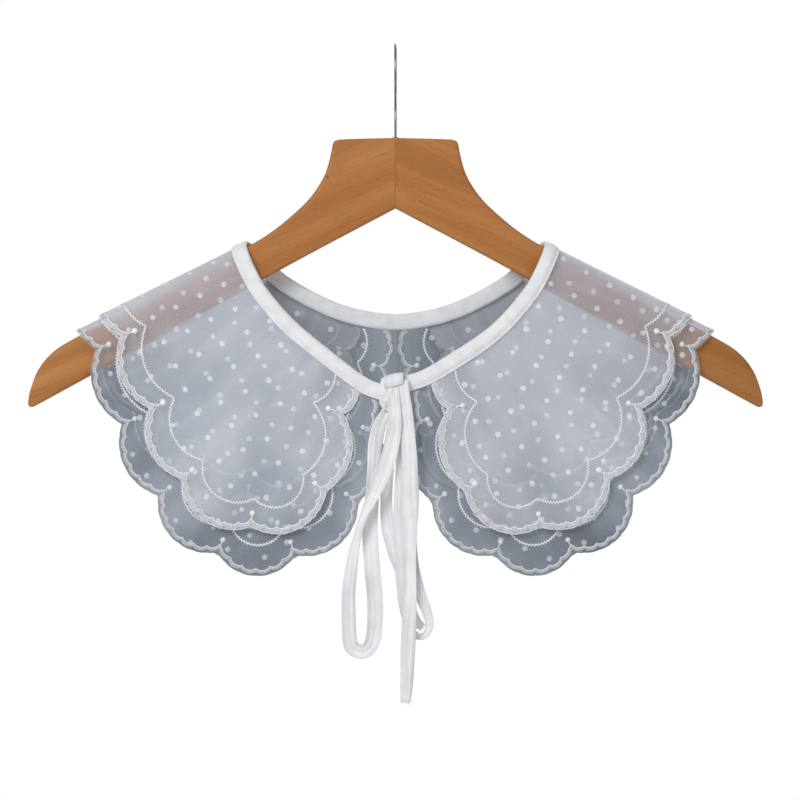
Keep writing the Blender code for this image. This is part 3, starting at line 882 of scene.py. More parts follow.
# %% Arms
ARM_THICKNESS = 13.0
ARM_EDGE_ROUND = 2.2
TIP_EDGE_ROUND = 0.9
TIP_REACH = (2.0, 24.0)
ARM_ROUND_STEPS = 7
JOINT_CHAMFER = 0.03
SHARPEST_MITRE = 0.5
HEAD_STEP = 2.0
TOP_STEP = 3.0
UNDERSIDE_STEP = 8.0
TIP_BULGE = Vector((0.6, 0.9))
TIP_SHADE_REACH = (120.0, 215.0)
TIP_PAINTED_SHADE = {LEFT: 0.0, RIGHT: 0.2}
HEAD_CORNER = (
    Point(0.0, 0.0),
    Point(18.0, 0.4),
    Point(34.0, 1.0),
    Point(36.5, 1.8),
    Point(37.6, 3.8),
)
ARM_TOP = (
    Point(38.2, 7.4),
    Point(40.3, 16.1),
    Point(43.8, 25.0),
    Point(53.0, 38.0),
    Point(70.7, 53.7),
    Point(88.7, 65.3),
    Point(120.0, 81.9),
    Point(160.0, 103.0),
    Point(191.0, 119.4),
    Point(205.0, 128.2),
    Point(214.0, 139.0),
    Point(218.6, 151.0),
    Point(220.0, 158.6),
)
ARM_UNDERSIDE = (
    Point(217.8, 161.2),
    Point(200.0, 151.6),
    Point(140.0, 118.6),
    Point(68.4, 78.4),
    Point(0.0, 42.0),
)


def arm_outline():
    """The front outline of an arm, from the joint over the top to the tip and back below."""
    top = smooth_line([Vector(point) for point in ARM_TOP], TOP_STEP)
    under = smooth_line([Vector(point) for point in ARM_UNDERSIDE], UNDERSIDE_STEP)
    head = smooth_line([Vector(point) for point in (*HEAD_CORNER, ARM_TOP[0])], HEAD_STEP)[:-1]
    return head + top + [(top[-1] + under[0]) / 2 + TIP_BULGE] + under


def arm_rings(side):
    """The outline pulled in step by step towards each face, front to back."""
    outline = arm_outline()
    tip = Vector(ARM_TOP[-1])
    count = len(outline)
    levels = [90.0 * step / ARM_ROUND_STEPS for step in range(ARM_ROUND_STEPS + 1)]
    rings = []
    for face, angles in ((FRONT, levels), (BACK, levels[::-1])):
        for degrees in angles:
            ring = []
            for index, point in enumerate(outline):
                one = (point - outline[index - 1]).normalized()
                two = (outline[(index + 1) % count] - point).normalized()
                inward = Vector((-(one.y + two.y), one.x + two.x)).normalized()
                inward /= max(inward.dot(Vector((-one.y, one.x))), SHARPEST_MITRE)
                if index in (0, count - 1):
                    inward = Vector((JOINT_CHAMFER, 1.0 if index == 0 else -1.0))
                near = ease((point - tip).length, *TIP_REACH)
                radius = TIP_EDGE_ROUND + (ARM_EDGE_ROUND - TIP_EDGE_ROUND) * near
                moved = point + inward * radius * (1 - math.sin(math.radians(degrees)))
                depth = ARM_THICKNESS / 2 - radius * (1 - math.cos(math.radians(degrees)))
                ring.append(space(side, moved.x, moved.y, face * depth))
            rings.append(ring)
    return rings


for side, word in SIDES:
    name = f"hanger_{word}_wood"
    arm = loft_piece(name, arm_rings(side), wood, "varnished_wood", [f"hanger_arm_{word}"])
    arm.data.set_sharp_from_angle(angle=math.radians(50))
    grain = arm.data.attributes.new("grain", "FLOAT_VECTOR", "POINT")
    for vertex, target in zip(arm.data.vertices, grain.data):
        target.vector = grain_place(side, *vertex.co)
    # The right tip is painted darker, as painted shade.
    fades = [ease(abs(vertex.co.x) / MM, *TIP_SHADE_REACH) for vertex in arm.data.vertices]
    set_values(arm, "tone", [1.0 - TIP_PAINTED_SHADE[side] * fade for fade in fades])
    print(arm.name, len(arm.data.polygons), "faces")

# %% [markdown]
# ## The wire hook
# One length of wire goes into the joint between the halves, steps back, and bends over the rail.
# A small pressed collar hides the hole. The wire is a circle carried along its centre line.

# %% Hook
HOOK_INNER_RADIUS = 16.0
HOOK_WIRE_RADIUS = 0.7
HOOK_HOLE_DEPTH = 14.0
HOOK_NECK = ((0.0, 0.0), (0.0, 6.0), (0.0, 12.0), (1.2, 17.0), (4.0, 21.5))
HOOK_BEND_START = math.radians(-62.0)
HOOK_BEND_END = math.radians(215.0)
HOOK_BEND_STEPS = 60
WIRE_SIDES = 16
WIRE_STEP = 1.5
WIRE_END_ROUND = 0.4
WIRE_END_SHARE = 0.7
COLLAR_ROWS = ((-0.2, 2.0), (0.3, 2.0), (0.6, 1.6), (0.8, 1.0))


def hook_route():
    """The wire's centre line: up out of the wood, a step back, and the bend over the rail."""
    radius = HOOK_INNER_RADIUS + HOOK_WIRE_RADIUS
    centre = Vector((0.0, 0.0, -HOOK_INNER_RADIUS))
    route = [Vector((0.0, 0.0, -HOOK_RISE - HOOK_HOLE_DEPTH))]
    route += [Vector((0.0, behind, -HOOK_RISE + height)) for behind, height in HOOK_NECK]
    for index in range(HOOK_BEND_STEPS + 1):
        angle = HOOK_BEND_START + (HOOK_BEND_END - HOOK_BEND_START) * index / HOOK_BEND_STEPS
        route.append(centre + radius * Vector((0.0, math.cos(angle), math.sin(angle))))
    return smooth_line(route, WIRE_STEP)


def wire_ring(point, run, radius):
    """A circle about a point of the wire, square to its run. The wire stays in the plane x = 0."""
    across = Vector((1.0, 0.0, 0.0))
    up = run.cross(across)
    turns = [2 * math.pi * index / WIRE_SIDES for index in range(WIRE_SIDES)]
    return [point + radius * (across * math.cos(turn) + up * math.sin(turn)) for turn in turns]


route = hook_route()
rings = []
for index, point in enumerate(route):
    rings.append(wire_ring(point, run_at(route, index).normalized(), HOOK_WIRE_RADIUS))
end_run = (route[-1] - route[-2]).normalized()
end = route[-1] + end_run * WIRE_END_ROUND
rings.append(wire_ring(end, end_run, HOOK_WIRE_RADIUS * WIRE_END_SHARE))
loft_piece("hook_wire", rings, wire, "plated_wire", ["hanger_hook"])
wood_top = Vector((0.0, 0.0, -HOOK_RISE))
up = Vector((0.0, 0.0, 1.0))
collar_rings = [wire_ring(wood_top + up * rise, up, radius) for rise, radius in COLLAR_ROWS]
loft_piece("hook_collar", collar_rings, wire, "plated_wire")
print("hook wire, rings:", len(rings))

# %% [markdown]
# ## How much the cloth hides
# Over the wood the photograph shows the grain colour through both tiers, and further down the
# cloth reads as cool grey. At the ridge it is seen on edge, so it looks denser. The back layers
# show twice: plainly through the neck, and faintly behind the front lobes. Those zones are
# measured on the cloth itself and stored on its points.

# %% Cover and tint
Zone = namedtuple("Zone", "cover tint")

LOWER_ALONE = Zone(0.95, 0.165)
LOWER_OVER_BACK = Zone(0.64, 0.24)
LOWER_BACK_DOUBLED = Zone(0.42, 0.02)
UPPER_AT_NECK = Zone(0.45, 0.8)
UPPER_AT_HEM = Zone(0.44, 0.64)
UPPER_BACK = Zone(0.85, 0.42)
HEM_REACH = (45.0, 110.0)
OVER_WOOD = Zone(0.4, 0.46)
ON_RIDGE = Zone(0.6, 0.6)
WOOD_EDGE_DROP = 41.5
WOOD_EDGE_SLOPE = 0.5505
WOOD_EDGE_BLUR = (-1.5, 1.5)
RIDGE_BAND = (6.0, 13.0)
ZONE_INSET = 1.0
ZONE_SOFTNESS = 2.2
# Painted shading: fold ridges are painted lighter and hollows darker, and one side of each tier darker
# than the other.
FOLD_PAINTED_SHADING = 0.05
SIDE_PAINTED_SHADING = {
    ("lower_tier", LEFT): 0.0,
    ("lower_tier", RIGHT): -0.05,
    ("upper_tier", LEFT): -0.03,
    ("upper_tier", RIGHT): 0.05,
}


def mixed(one, two, share):
    """A zone between two others."""
    return Zone(*(a + (b - a) * share for a, b in zip(one, two)))


def front_view(place):
    """A draped place as x from the middle and height, whichever side and face it is on."""
    return Vector((abs(place.x), place.z))


def view_outline(tier, face):
    """The part of a tier's outline on one face, as it looks in the front view."""
    spots = [point for point in outlines[tier.name] if point.y * face >= 0]
    return [front_view(drape(RIGHT, point.x, point.y, 0.0)) for point in spots]


def inside(point, outline):
    """Whether a point lies inside an outline: its row crosses the edge an odd number of times."""
    hit = False
    for one, two in zip(outline, outline[1:] + outline[:1]):
        if (one.y > point.y) != (two.y > point.y):
            crossing = one.x + (point.y - one.y) * (two.x - one.x) / (two.y - one.y)
            hit = hit != (point.x < crossing)
    return hit


def share_inside(point, outline, near):
    """1 well inside an outline, 0 outside it, and a soft step just inside its edge."""
    distance = near.find(point.to_3d())[2]
    signed = distance if inside(point, outline) else -distance
    return ease(signed, ZONE_INSET, ZONE_INSET + ZONE_SOFTNESS)


def point_finder(points):
    """Finds the nearest of many flat points quickly."""
    finder = kdtree.KDTree(len(points))
    for index, point in enumerate(points):
        finder.insert(point.to_3d(), index)
    finder.balance()
    return finder


back_lower_view = view_outline(LOWER, BACK)
back_lower_finder = point_finder(back_lower_view)
upper_finder = point_finder(outlines["upper_tier"])


def zone_of(tier, side, point, place):
    """The zone of a tier's point, by its flat point and the place where it hangs."""
    reach, _ = from_neck(point)
    if tier is UPPER and point.y < 0:
        zone = UPPER_BACK
    elif tier is UPPER:
        zone = mixed(UPPER_AT_NECK, UPPER_AT_HEM, ease(reach, *HEM_REACH))
    elif point.y >= 0:
        behind = share_inside(front_view(place), back_lower_view, back_lower_finder)
        zone = mixed(LOWER_ALONE, LOWER_OVER_BACK, behind)
    else:
        doubled = share_inside(point, outlines["upper_tier"], upper_finder)
        zone = mixed(LOWER_ALONE, LOWER_BACK_DOUBLED, doubled)
    # Painted shading from the folds and from the side is added to the tint here.
    painted_shading = FOLD_PAINTED_SHADING * fold_height(side, point) + SIDE_PAINTED_SHADING[tier.name, side]
    zone = Zone(zone.cover, zone.tint + painted_shading)
    below_wood = -HOOK_RISE - place.z - WOOD_EDGE_DROP - WOOD_EDGE_SLOPE * abs(place.x)
    zone = mixed(zone, OVER_WOOD, 1 - ease(below_wood, *WOOD_EDGE_BLUR))
    return mixed(zone, ON_RIDGE, 1 - ease(abs(point.y), *RIDGE_BAND))


# %% [markdown]
# ## The tiers
# A sheer layer has to be a single surface, because a closed wall would be crossed twice and look
# twice as dense. The flat outline is filled with an even net of triangles, and each corner is
# then bent over the arm, so the cloth is as smooth as its net is fine.

# %% Tier shells
NET_MM = 2.6
NET_CLEAR = 0.6
NET_INSIDE_ONLY = 1
NET_MERGE = 1e-6
WALL = 1.0
SEAM_GAP = 0.3
UPPER_LIFT = 3.0
UPPER_LIFT_REACH = 85.0
LIFT_ON_RIDGE = 0.2
LIFT_GROWS = (8.0, 45.0)


def tier_out(tier, side, point):
    """Height of the middle of a tier's wall above the surface that the flat cloth is bent to."""
    height = WALL / 2 + fold_height(side, point)
    if tier is UPPER:
        reach, _ = from_neck(point)
        off_ridge = LIFT_ON_RIDGE + (1 - LIFT_ON_RIDGE) * ease(abs(point.y), *LIFT_GROWS)
        height += WALL + SEAM_GAP + UPPER_LIFT * off_ridge * ease(reach, 0.0, UPPER_LIFT_REACH)
    return height


def cloth_net(outline):
    """Points and triangles that fill a flat outline evenly."""
    edge = point_finder(outline)
    points = list(outline)
    reach = max(point.length for point in outline)
    row_height = NET_MM * math.sqrt(3) / 2
    rows = int(reach / row_height) + 1
    for row in range(-rows, rows + 1):
        for column in range(-rows, rows + 1):
            point = Vector(((column + 0.5 * (row % 2)) * NET_MM, row * row_height))
            if edge.find(point.to_3d())[2] > NET_MM * NET_CLEAR:
                points.append(point)
    border = [list(range(len(outline)))]
    found, _, triangles, *_ = delaunay_2d_cdt(points, [], border, NET_INSIDE_ONLY, NET_MERGE)
    used = sorted({corner for triangle in triangles for corner in triangle})
    place = {old: new for new, old in enumerate(used)}
    return [found[old] for old in used], [tuple(place[c] for c in triangle) for triangle in triangles]


def build_tier(tier, side, word, points, triangles):
    """One tier of one half, with what its material reads stored on it."""
    places = [drape(side, point.x, point.y, tier_out(tier, side, point)) for point in points]
    if side == LEFT:
        triangles = [triangle[::-1] for triangle in triangles]
    name = f"{tier.name}_{word}_organza"
    cloth = make_piece(name, places, triangles, organza, "dotted_organza", [f"{tier.name}_{word}"])
    add_flat_map(cloth, "cloth", [point * MM for point in points])
    around_neck = [from_neck(point) for point in points]
    fan = [(reach * MM, math.radians(turn) * NECK_RADIUS * MM) for reach, turn in around_neck]
    add_flat_map(cloth, "fan", fan)
    zones = [zone_of(tier, side, point, place) for point, place in zip(points, places)]
    set_values(cloth, "cover", [zone.cover for zone in zones])
    set_values(cloth, "tint", [zone.tint for zone in zones])
    cloth.visible_shadow = False
    return cloth


for tier in (LOWER, UPPER):
    net = cloth_net(outlines[tier.name])
    for side, word in SIDES:
        build_tier(tier, side, word, *net)
    print(tier.name, "net:", len(net[0]), "points,", len(net[1]), "triangles a side")

# %% [markdown]
# ## Embroidered edges
# A machine sews a satin band along the scallops before the cloth is trimmed, so a narrow margin
# of bare cloth is left outside it. A brighter thread outlines the band's inner edge, where the
# small arcs meet in points. Both could be bevelled curves, but a curve doesn't follow the cloth's
# tilt. Here a section is laid on the cloth itself: each ring is a row of points across the line,
# on both faces, so that it shows from behind too. The upper tier has one more thread along the
# band's outer side, a little uneven, as the needle wanders there.

# %% Strips laid on the cloth
THREAD_SECTION = ((-1.0, 0.0), (0.0, 1.0), (1.0, 0.0), (0.0, -1.0))
BAND_SECTION = ((0.0, 0.5), (0.35, 1.0), (0.75, 0.8), (1.0, 0.0), (0.7, -0.8), (0.1, -0.6))


def laid_rings(tier, side, line, section, half_width, rise):
    """Rings across a flat line, laid on a tier: the section's rows are (across, height) shares."""
    rings = []
    for point, normal in zip(line, side_normals(line)):
        out = tier_out(tier, side, point)
        ring = []
        for across, height in section:
            spot = point + normal * across * half_width
            ring.append(drape(side, spot.x, spot.y, out + height * rise))
        rings.append(ring)
    return rings


# %% Satin bands and their bright outline
RIPPLE = 1.5
BAND_WIDTH = {"lower_tier": 2.1, "upper_tier": 3.1}
BAND_RISE = 0.38
OUTLINE_HALF = 0.5
OUTLINE_RISE = 0.35
RIM_REACH = 2.6
RIM_HALF = 0.32
RIM_UNEVEN = 0.35
random.seed(3)


def rippled(sample):
    """The sewn line's own place: pulled in where two small arcs meet."""
    return sample.place + sample.outward * RIPPLE * (sample.small - 1.0)


def band_rings(tier, side, samples):
    """A satin band just outside the rippled sewn line."""
    rings = []
    for sample in samples:
        inner = rippled(sample)
        ring = []
        for across, height in BAND_SECTION:
            spot = inner + sample.outward * across * BAND_WIDTH[tier.name]
            out = tier_out(tier, side, sample.place) + height * BAND_RISE
            ring.append(drape(side, spot.x, spot.y, out))
        rings.append(ring)
    return rings


embroidery = {}
for tier, satin, thread in ((LOWER, dim_satin, dim_thread), (UPPER, edge_satin, satin_thread)):
    samples = all_scallops(flat_cusps(tier))
    line = [rippled(sample) for sample in samples]
    for side, word in SIDES:
        name = f"{tier.name}_{word}_satin_band"
        band = loft_piece(name, band_rings(tier, side, samples), satin, "dotted_organza")
        vertices, faces = [], []
        rings = laid_rings(tier, side, line, THREAD_SECTION, OUTLINE_HALF, OUTLINE_RISE)
        add_loft(vertices, faces, rings)
        if tier is UPPER:
            reaches = [RIM_REACH + random.uniform(-RIM_UNEVEN, RIM_UNEVEN) for _ in samples]
            rim = [sample.place + sample.outward * reach for sample, reach in zip(samples, reaches)]
            rings = laid_rings(tier, side, rim, THREAD_SECTION, RIM_HALF, OUTLINE_RISE)
            add_loft(vertices, faces, rings)
        name = f"{tier.name}_{word}_outline_thread"
        outline_thread = make_piece(name, vertices, faces, thread, "dotted_organza")
        embroidery[tier.name, side] = [band, outline_thread]
    print(tier.name, "small arcs sewn:", sum(1 for sample in samples if sample.small == 0.0))

# %% [markdown]
# ## The inner chain line
# Inside each edge, 12 to 13 mm from the cusps at the sides and 14 to 15 mm along the hem, runs a
# lighter line of zigzag stitches with its own cusps. Its path is the same scallop function on
# cusps that are moved in. The stitches are a thread that crosses the path from side to side, with
# a lower thread down the middle.

# %% Zigzag chain
CHAIN_INSET = {"lower_tier": 13.0, "upper_tier": 12.4}
HEM_INSET = {"lower_tier": 2.4, "upper_tier": 1.4}
HEM_OVER = (70.0, 125.0)
CHAIN_BULGE = 0.9
CHAIN_HALF = 0.85
CHAIN_PITCH = 1.8
CHAIN_THREAD = 0.42
CHAIN_RISE = 0.28
MIDDLE_LIFT = 0.6


def inset_cusps(tier):
    """The tier's cusps moved in to the chain line, which stands further in along the hem."""
    cusps = flat_cusps(tier)
    moved = []
    for (place, bulge), normal in zip(cusps, side_normals([place for place, _ in cusps])):
        inset = CHAIN_INSET[tier.name] + HEM_INSET[tier.name] * ease(abs(place.y), *HEM_OVER)
        moved.append((place - normal * inset, bulge * CHAIN_BULGE))
    return moved


def spaced(line, pitch):
    """Points at even distances along a line."""
    found = [line[0]]
    left = pitch
    for one, two in zip(line, line[1:]):
        length = (two - one).length
        done = 0.0
        while length - done > left:
            done += left
            found.append(one.lerp(two, done / length))
            left = pitch
        left -= length - done
    return found


def chain_lines(tier):
    """The zigzag thread's flat path and the middle thread's."""
    arcs = all_scallops(inset_cusps(tier))
    path = spaced([sample.place for sample in arcs], CHAIN_PITCH / 2)
    zigzag = []
    for index, (point, normal) in enumerate(zip(path, side_normals(path))):
        zigzag.append(point + normal * CHAIN_HALF * (1 if index % 2 else -1))
    return zigzag, path


for tier in (LOWER, UPPER):
    zigzag, middle = chain_lines(tier)
    for side, word in SIDES:
        vertices, faces = [], []
        for line, lift in ((zigzag, 1.0), (middle, MIDDLE_LIFT)):
            rings = laid_rings(tier, side, line, THREAD_SECTION, CHAIN_THREAD, CHAIN_RISE * lift)
            add_loft(vertices, faces, rings)
        name = f"{tier.name}_{word}_chain_stitch"
        chain = make_piece(name, vertices, faces, satin_thread, "dotted_organza")
        embroidery[tier.name, side].append(chain)
    print(tier.name, "chain stitches:", len(zigzag))

# %% [markdown]
# ## Knots and woven dots
# At every cusp a small ball of thread stands on a short stem. The cloth itself carries woven dots
# on a nearly square lattice. The shoulder line is about its straight grain, and each piece lay a
# few degrees off it when it was cut. Both are low domes laid on the cloth, with a little
# unevenness, as thread has.

# %% Knots
KNOT_INSET = 4.8
KNOT_RADIUS = 1.7
KNOT_RISE = 1.0
KNOT_JITTER = 0.4
KNOT_SPREAD = (0.9, 1.1)
STEM_START = 0.5
STEM_HALF = 0.45
STEM_RISE = 0.35
DOME_SIDES = 12
DOME_ROWS = ((1.0, 0.0), (0.86, 0.5), (0.5, 0.87), (0.0, 1.0))
random.seed(7)


def add_dome(vertices, faces, tier, side, centre, radius, rise):
    """A round bump on both faces of the cloth."""
    first = len(vertices)
    rows = [(share, height * face) for face in (1, -1) for share, height in DOME_ROWS[face < 0 :]]
    starts = []
    for share, height in rows:
        starts.append(len(vertices))
        count = DOME_SIDES if share else 1
        for index in range(count):
            turn = 2 * math.pi * index / DOME_SIDES
            spot = centre + Vector((math.cos(turn), math.sin(turn))) * radius * share
            out = tier_out(tier, side, spot) + rise * height
            vertices.append(drape(side, spot.x, spot.y, out))
    upper = starts[: len(DOME_ROWS)]
    lower = [first, *starts[len(DOME_ROWS) :]]
    for chain, turned in ((upper, False), (lower, True)):
        for one, two in zip(chain, chain[1:]):
            for index in range(DOME_SIDES):
                after = (index + 1) % DOME_SIDES
                face = (one + index, one + after, two + after, two + index)
                if two == chain[-1]:
                    face = (one + index, one + after, two)
                faces.append(face[::-1] if turned else face)


for tier in (LOWER, UPPER):
    cusps = flat_cusps(tier)
    thread = dim_thread if tier is LOWER else satin_thread
    normals = side_normals([place for place, _ in cusps])
    for side, word in SIDES:
        vertices, faces = [], []
        for (place, _), normal in list(zip(cusps, normals))[1:-1]:
            centre = place - normal * (KNOT_INSET + random.uniform(-KNOT_JITTER, KNOT_JITTER))
            radius = KNOT_RADIUS * random.uniform(*KNOT_SPREAD)
            add_dome(vertices, faces, tier, side, centre, radius, KNOT_RISE)
            stem = [place + normal * STEM_START, place.lerp(centre, 0.5), centre]
            rings = laid_rings(tier, side, stem, THREAD_SECTION, STEM_HALF, STEM_RISE)
            add_loft(vertices, faces, rings)
        knots = make_piece(f"{tier.name}_{word}_bead_knots", vertices, faces, thread, "dotted_organza")
        embroidery[tier.name, side].append(knots)
    print(tier.name, "knots a side:", len(cusps) - 2)

# %% Woven dots
DOT_PITCH = Vector((15.7, 15.8))
DOT_RADIUS = 1.75
DOT_RISE = 0.2
DOT_JITTER = 0.35
DOT_SPREAD = (0.92, 1.08)
DOT_EDGE = 2.2
DOT_ROWS = range(-15, 16)
DOT_COLUMNS = range(-12, 13)

Lattice = namedtuple("Lattice", "along over turn")

LATTICES = {
    ("lower_tier", LEFT): Lattice(3.0, 11.0, 7.0),
    ("lower_tier", RIGHT): Lattice(9.5, 4.0, -6.0),
    ("upper_tier", LEFT): Lattice(10.0, 5.5, -1.5),
    ("upper_tier", RIGHT): Lattice(2.0, 9.0, 2.0),
}


def dot_places(outline, lattice):
    """The woven lattice, turned a little in each piece as the cloth lay when it was cut."""
    start = Vector((lattice.along, lattice.over))
    turn = math.radians(lattice.turn)
    ahead = Vector((math.cos(turn), math.sin(turn)))
    beside = Vector((-ahead.y, ahead.x))
    places = []
    for row in DOT_ROWS:
        for column in DOT_COLUMNS:
            jitter = Vector((random.uniform(-1, 1), random.uniform(-1, 1))) * DOT_JITTER
            place = start + ahead * column * DOT_PITCH.x + beside * row * DOT_PITCH.y + jitter
            clear = min((place - edge).length for edge in outline) > DOT_EDGE
            if clear and inside(place, outline):
                places.append(place)
    return places


for tier, finish in ((LOWER, dim_dot), (UPPER, woven_dot)):
    for side, word in SIDES:
        places = dot_places(outlines[tier.name], LATTICES[tier.name, side])
        vertices, faces = [], []
        for place in places:
            radius = DOT_RADIUS * random.uniform(*DOT_SPREAD)
            add_dome(vertices, faces, tier, side, place, radius, DOT_RISE)
        dots = make_piece(f"{tier.name}_{word}_woven_dots", vertices, faces, finish, "dotted_organza")
        dots.visible_shadow = False
        embroidery[tier.name, side].append(dots)
        print(dots.name, len(places))

# %% [markdown]
# ## The outline of each tier
# Each tier's flat outline is looked up once more here, and nothing else is done with it.

for tier in (LOWER, UPPER):
    outline = outlines[tier.name]

# %% [markdown]
# ## The neck binding
# The tape is folded over the raw neck edge of both tiers and sewn through near its outer edge.
# It is one strip right round the neck. Its section has the fold at the inner edge, a soft crown
# and a groove where the stitches pull it in, and it puckers slightly between them.

# %% Binding
BINDING_STEP = 1.6
BINDING_SECTION = (
    (0.0, 0.5),
    (0.05, 2.2),
    (-0.4, 2.8),
    (-0.9, 2.85),
    (-1.35, 2.3),
    (-1.8, 2.9),
    (-3.4, 3.25),
    (-5.4, 3.2),
    (-7.6, 3.05),
    (-8.9, 2.6),
    (-9.6, 1.5),
    (-9.0, 0.45),
    (-7.2, 0.1),
    (-4.5, 0.0),
    (-1.6, 0.1),
)
TUCKED_END = 5.0
BINDING_PAINTED_SHADE = {FRONT: 0.94, BACK: 0.88}
BINDING_SHADE_CHANGE = (-15.0, 15.0)
BINDING_PUCKER = (6.0, 0.6)
BINDING_MOTTLE = (5.0, 0.09)
PUCKER_ABOVE = 1.0
STITCH_ACROSS = -1.35
STITCH_PITCH = 2.4
STITCH_LENGTH = 1.7
STITCH_RADIUS = 0.22
STITCH_STEP = 0.4
STITCH_HEIGHT = 2.5
STITCH_END_SHARE = 0.5


def seam_normals(seam):
    """The seam's normals, upright in the front view at both centres so that the halves meet."""
    normals = side_normals(seam)
    for index, point, face in ((0, FRONT_SEAM[0], FRONT), (-1, BACK_SEAM[-1], BACK)):
        above = Point(point.x, point.drop - 1.0)
        normals[index] = (flatten(point, face) - flatten(above, face)).normalized()
    return normals


def pucker(place, size, depth):
    """A gentle unevenness that varies over about this size."""
    return noise.noise(place / size) * depth


def build_binding():
    """One strip of tape from centre front round the back of the neck to centre front."""
    seam = neck_seam(BINDING_STEP)
    seam.insert(0, seam[0] + (seam[0] - seam[1]).normalized() * TUCKED_END)
    normals = seam_normals(seam)
    rings, tones = [], []
    for side, order in ((LEFT, range(len(seam))), (RIGHT, range(len(seam) - 2, -1, -1))):
        for index in order:
            ring = []
            for across, out in BINDING_SECTION:
                point = seam[index] + normals[index] * across
                place = drape(side, point.x, point.y, out)
                lifted = out + pucker(place, *BINDING_PUCKER) * (out > PUCKER_ABOVE)
                ring.append(drape(side, point.x, point.y, lifted))
                # Painted shade: the back of the binding is painted darker than its front, and the small
                # wave across the tape paints the shading of its rolled section. The mottle is random
                # tone.
                face_share = ease(point.y, *BINDING_SHADE_CHANGE)
                tone = BINDING_PAINTED_SHADE[BACK] + (BINDING_PAINTED_SHADE[FRONT] - BINDING_PAINTED_SHADE[BACK]) * face_share
                tones.append(tone + pucker(place, *BINDING_MOTTLE) + 0.02 * math.cos(across * 1.1))
            rings.append(ring)
    tape = loft_piece("neck_binding_tape", rings, tape_cloth, "bias_tape", ["neck_binding"])
    set_values(tape, "tone", tones)
    return tape


def build_binding_stitches():
    """The row of short stitches in the binding's groove, each one a small loft."""
    vertices, faces = [], []
    fine = neck_seam(STITCH_STEP)
    normals = seam_normals(fine)
    for side, _ in SIDES:
        travelled = 0.0
        row = []
        for index in range(1, len(fine)):
            travelled += (fine[index] - fine[index - 1]).length
            if travelled % STITCH_PITCH < STITCH_LENGTH:
                row.append(index)
            elif len(row) > 1:
                rings = []
                for step, spot in enumerate(row):
                    ends = STITCH_END_SHARE if step in (0, len(row) - 1) else 1.0
                    ring = []
                    for across, height in THREAD_SECTION:
                        place = STITCH_ACROSS + across * STITCH_RADIUS
                        point = fine[spot] + normals[spot] * place
                        out = STITCH_HEIGHT + height * STITCH_RADIUS * ends
                        ring.append(drape(side, point.x, point.y, out))
                    rings.append(ring)
                add_loft(vertices, faces, rings)
                row = []
    return make_piece("neck_binding_stitches", vertices, faces, satin_thread, "bias_tape")


binding = build_binding()
binding_stitches = build_binding_stitches()
seam = neck_seam(1.0)

# %% [markdown]
# ## The bow
# The binding runs on at centre front and is tied. Each loop and tail is the same folded tape, so
# it is one flat section carried along a path. The stations say where the tape is in the front
# view, which layer it lies in, how wide it looks and how it is twisted. Tape that hangs isn't
# straight: it cups across its width, and lengthwise creases run in and out of it.

# %% Bow stations
Station = namedtuple("Station", "x drop layer width twist")

LEFT_LOOP = (
    Station(-0.9, 145.0, 4.6, 6.0, 0),
    Station(-0.9, 155.0, 5.1, 7.0, 0),
    Station(-0.6, 163.3, 5.2, 7.8, -4),
    Station(-0.6, 172.0, 5.3, 8.6, -8),
    Station(-2.4, 184.0, 5.3, 9.2, -6),
    Station(-6.2, 198.0, 5.2, 9.0, 6),
    Station(-12.5, 212.0, 5.1, 7.6, 14),
    Station(-18.6, 225.0, 4.8, 5.6, 34),
    Station(-22.6, 238.0, 4.4, 5.6, 26),
    Station(-25.6, 254.0, 4.0, 7.0, 10),
    Station(-27.6, 270.0, 3.4, 8.0, 0),
    Station(-27.6, 286.0, 2.8, 8.4, 0),
    Station(-27.2, 296.5, 2.4, 8.6, 0),
    Station(-25.8, 303.0, 2.1, 8.8, 0),
    Station(-22.0, 305.5, 1.9, 8.6, 0),
    Station(-19.6, 305.7, 3.3, 8.6, -6),
    Station(-15.6, 303.4, 3.8, 8.6, -6),
    Station(-12.6, 295.0, 3.9, 9.0, 0),
    Station(-12.0, 276.0, 3.9, 9.2, 0),
    Station(-13.2, 262.0, 3.4, 9.2, 0),
    Station(-14.6, 246.0, 2.8, 9.2, 0),
    Station(-15.0, 231.0, 2.4, 9.0, 4),
    Station(-14.0, 216.0, 2.0, 8.4, 10),
    Station(-13.0, 198.0, 2.0, 7.8, 16),
    Station(-11.8, 182.0, 2.0, 8.8, 16),
    Station(-8.8, 170.5, 2.0, 7.6, 12),
    Station(-3.6, 161.0, 2.0, 4.6, 0),
)
RIGHT_LOOP = (
    Station(1.6, 158.0, 3.0, 5.6, 0),
    Station(4.2, 178.0, 3.1, 7.0, 0),
    Station(4.0, 196.0, 3.1, 7.6, 0),
    Station(3.2, 214.0, 3.1, 8.0, 0),
    Station(3.0, 232.0, 3.1, 8.4, 0),
    Station(3.4, 250.0, 3.1, 8.0, 0),
    Station(4.4, 266.0, 3.0, 7.8, 0),
    Station(6.0, 280.0, 2.6, 7.4, -10),
    Station(9.0, 292.5, 2.4, 6.4, -40),
    Station(14.2, 297.0, 2.0, 5.4, -50),
    Station(18.6, 294.8, 1.9, 5.0, -36),
    Station(20.1, 289.0, 1.9, 5.0, -14),
    Station(18.4, 281.6, 1.9, 5.8, 0),
    Station(15.6, 274.6, 1.9, 6.6, 0),
    Station(12.6, 264.6, 1.9, 6.8, 0),
    Station(10.4, 254.0, 1.8, 6.8, 0),
    Station(9.2, 242.0, 1.6, 7.0, 0),
    Station(8.6, 224.0, 1.6, 7.0, 0),
    Station(8.2, 204.0, 1.6, 6.8, 0),
    Station(7.2, 184.0, 1.6, 6.2, 0),
    Station(2.0, 158.0, 1.0, 4.8, 0),
)
